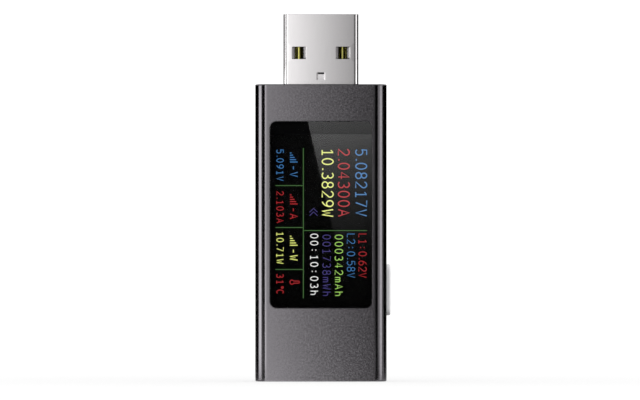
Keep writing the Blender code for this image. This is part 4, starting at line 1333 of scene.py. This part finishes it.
def side_floor_flags(side, spread, lane):
    """Black triangles on the floor beside and behind the meter, out to the upright flag, as one grid each.

    They leave bare the strip at 45 degrees that the sleeve's walls mirror from above, and a lane aside.
    """
    run_start = -1 / np.tan(spread[0])
    run_end = -np.tan(spread[1])
    tip = CORNER_LANE_HALF / (1 - run_end)
    lane_far = lane + FLAG_FAR * SIDE_LANE_SLOPE
    corner = FLAG_FAR - CORNER_LANE_HALF
    triangles = [
        [(lane + CORNER_LANE_HALF, lane), (FLAG_FAR, lane_far), (FLAG_FAR, corner)],
        [(run_end * tip, tip), (run_end * FLAG_FAR, FLAG_FAR), (corner, FLAG_FAR)],
        [(CORNER_LANE_HALF, -lane), (FLAG_FAR, -lane_far), (FLAG_FAR, run_start * FLAG_FAR)],
    ]
    shapes = np.array(triangles) * (side, 1)
    grids = np.concatenate([shapes, shapes[:, 2:]], axis=1).reshape(-1, 2, 2, 2)
    return [lay(grid, 2, FLOOR_FLAG_Z) for grid in grids]


def front_floor_flag(side, spread):
    """A sector of the floor before the meter, between two distances."""
    ring = round_about(side, spread, SECTOR_STEPS)
    return lay(np.stack([ring * reach for reach in SECTOR_REACH]), 2, FLOOR_FLAG_Z)


def lens_floor_flag(side):
    """The slanted strip of the floor that the lens mirrors when it is seen from a front corner."""
    along = np.sqrt(0.5) * np.array([side, -1.0])
    start = np.array([(side * x, CASE_LOW[1]) for x in LENS_FLAG_X])
    return lay(np.stack([start + reach * along for reach in LENS_FLAG_REACH]), 2, FLOOR_FLAG_Z)


def make_cards():
    """Soft boxes at both sides, a graded card in front, and black flags round and over the meter.

    The floor would mirror white into the foot of the sleeve, so it has black flags for gloss, and above them
    the cards' light goes on to the meter's foot.
    """
    graded = glow("graded_light", 1.0, GRADIENT_ROOT)
    below = glow("graded_floor_light", 1.0, GRADIENT_FLOOR_ROOT)
    cards = [
        card("graded_card", GRADIENT_X, (CARD_FOOT, GRADIENT_HEAD), 1, GRADIENT_Y, graded),
        gloss_card("graded_floor_card", [graded_floor()], below),
    ]
    for name, side, spread, up, strength in SOFTBOXES:
        light = glow(name + "_light", strength)
        cards.append(card(name + "_softbox", softbox_span(spread), up, 0, side * SOFTBOX_X, light))
    for thing in cards:
        link_light(thing, SCREEN, "EXCLUDE")
    for name, side, spread, strength in WEDGES:
        gloss_card(name + "_card", [floor_wedge(side, spread)], glow(name + "_light", strength))
    black = glow("black_cloth", 0.0)
    card("front_flag", FRONT_FLAG_X, (CARD_FOOT, FRONT_FLAG_HEAD), 1, FRONT_FLAG_Y, black)
    on_floor = []
    for name, side, spread, front_spread, lane in SIDE_FLAGS:
        gloss_card(name, [bent_flag(side, spread)], black)
        on_floor += side_floor_flags(side, spread, lane)
        on_floor += [lens_floor_flag(side), front_floor_flag(side, front_spread)]
    gloss_card("floor_flags", on_floor, black)
    card("overhead_flag", OVERHEAD_SPAN, OVERHEAD_SPAN, 2, OVERHEAD_Z, black)


def area_lamp(name, size, power):
    """A flat lamp of a size and power."""
    lamp = bpy.data.lights.new(name, "AREA")
    lamp.size = size
    lamp.energy = power
    return put(name, lamp)


def make_glare():
    """A slanted window of light in front of the lens, strongest at its head, that only the lens mirrors."""
    camera = np.array([CAMERA_X, CAMERA_Z])
    spread = 1 + GLARE_STAND_OFF / (LENS_LOW[1] - CAMERA_Y)
    foot = camera + (GLARE_EDGE_FOOT - camera) * spread
    head = camera + (GLARE_EDGE_HEAD - camera) * spread
    up = (head - foot) / np.linalg.norm(head - foot)
    right = np.array([up[1], -up[0]])
    centre = head + right * GLARE_SIZE[0] / 2 - up * (GLARE_SIZE[1] / 2 - GLARE_OVERRUN)
    thing = area_lamp("glare", GLARE_SIZE[0], GLARE_POWER)
    thing.data.shape = "RECTANGLE"
    thing.data.size_y = GLARE_SIZE[1]
    thing.data.use_nodes = True
    tree = thing.data.node_tree
    _, y, _ = axes_of(tree, add(tree, "ShaderNodeNewGeometry").outputs["Parametric"])
    feed(tree, tree.nodes["Emission"].inputs, {"Strength": maths(tree, "POWER", y, GLARE_FALL)})
    thing.matrix_world = Matrix((
        (right[0], up[0], 0.0, centre[0]),
        (0.0, 0.0, -1.0, LENS_LOW[1] - GLARE_STAND_OFF),
        (right[1], up[1], 0.0, centre[1]),
        (0.0, 0.0, 0.0, 1.0),
    ))
    link_light(thing, [LENS, *PRINTS, POLARISER], "INCLUDE")


def make_lamps():
    """A large soft lamp overhead, and one at the right front for matt pieces, which gloss doesn't show."""
    top = area_lamp("top_softbox", TOP_LAMP_SIZE, TOP_LAMP_POWER)
    top.location = TOP_LAMP_PLACE
    link_light(top, [*SCREEN, FLOOR], "EXCLUDE")
    side = area_lamp("side_softbox", SIDE_LAMP_SIZE, SIDE_LAMP_POWER)
    side.location = SIDE_LAMP_PLACE
    side.rotation_euler = Vector(SIDE_LAMP_PLACE).to_track_quat("Z", "Y").to_euler()
    side.visible_glossy = False
    link_light(side, [*SCREEN, FLOOR], "EXCLUDE")


def make_world():
    """Even white round the stage, dimmer where it only lights matt surfaces."""
    world = bpy.data.worlds.new("studio")
    bpy.context.scene.world = world
    world.use_nodes = True
    tree = world.node_tree
    level = between(tree, seen_rays(tree), WORLD_LEVEL, 1.0, 0.0, 1.0)
    feed(tree, tree.nodes["Background"].inputs, {"Color": WHITE, "Strength": level})


def make_camera():
    """A level camera, square on to the display."""
    camera = bpy.data.cameras.new("camera")
    camera.lens = CAMERA_LENS
    camera.sensor_width = CAMERA_SENSOR
    camera.clip_start, camera.clip_end = CAMERA_RANGE
    thing = put("camera", camera)
    thing.location = (CAMERA_X, CAMERA_Y, CAMERA_Z)
    thing.rotation_euler = (QUARTER, 0.0, 0.0)
    bpy.context.scene.camera = thing


FLOOR = make_floor()
make_cards()
make_glare()
make_lamps()
make_world()
make_camera()
bpy.context.scene.view_settings.view_transform = "Standard"
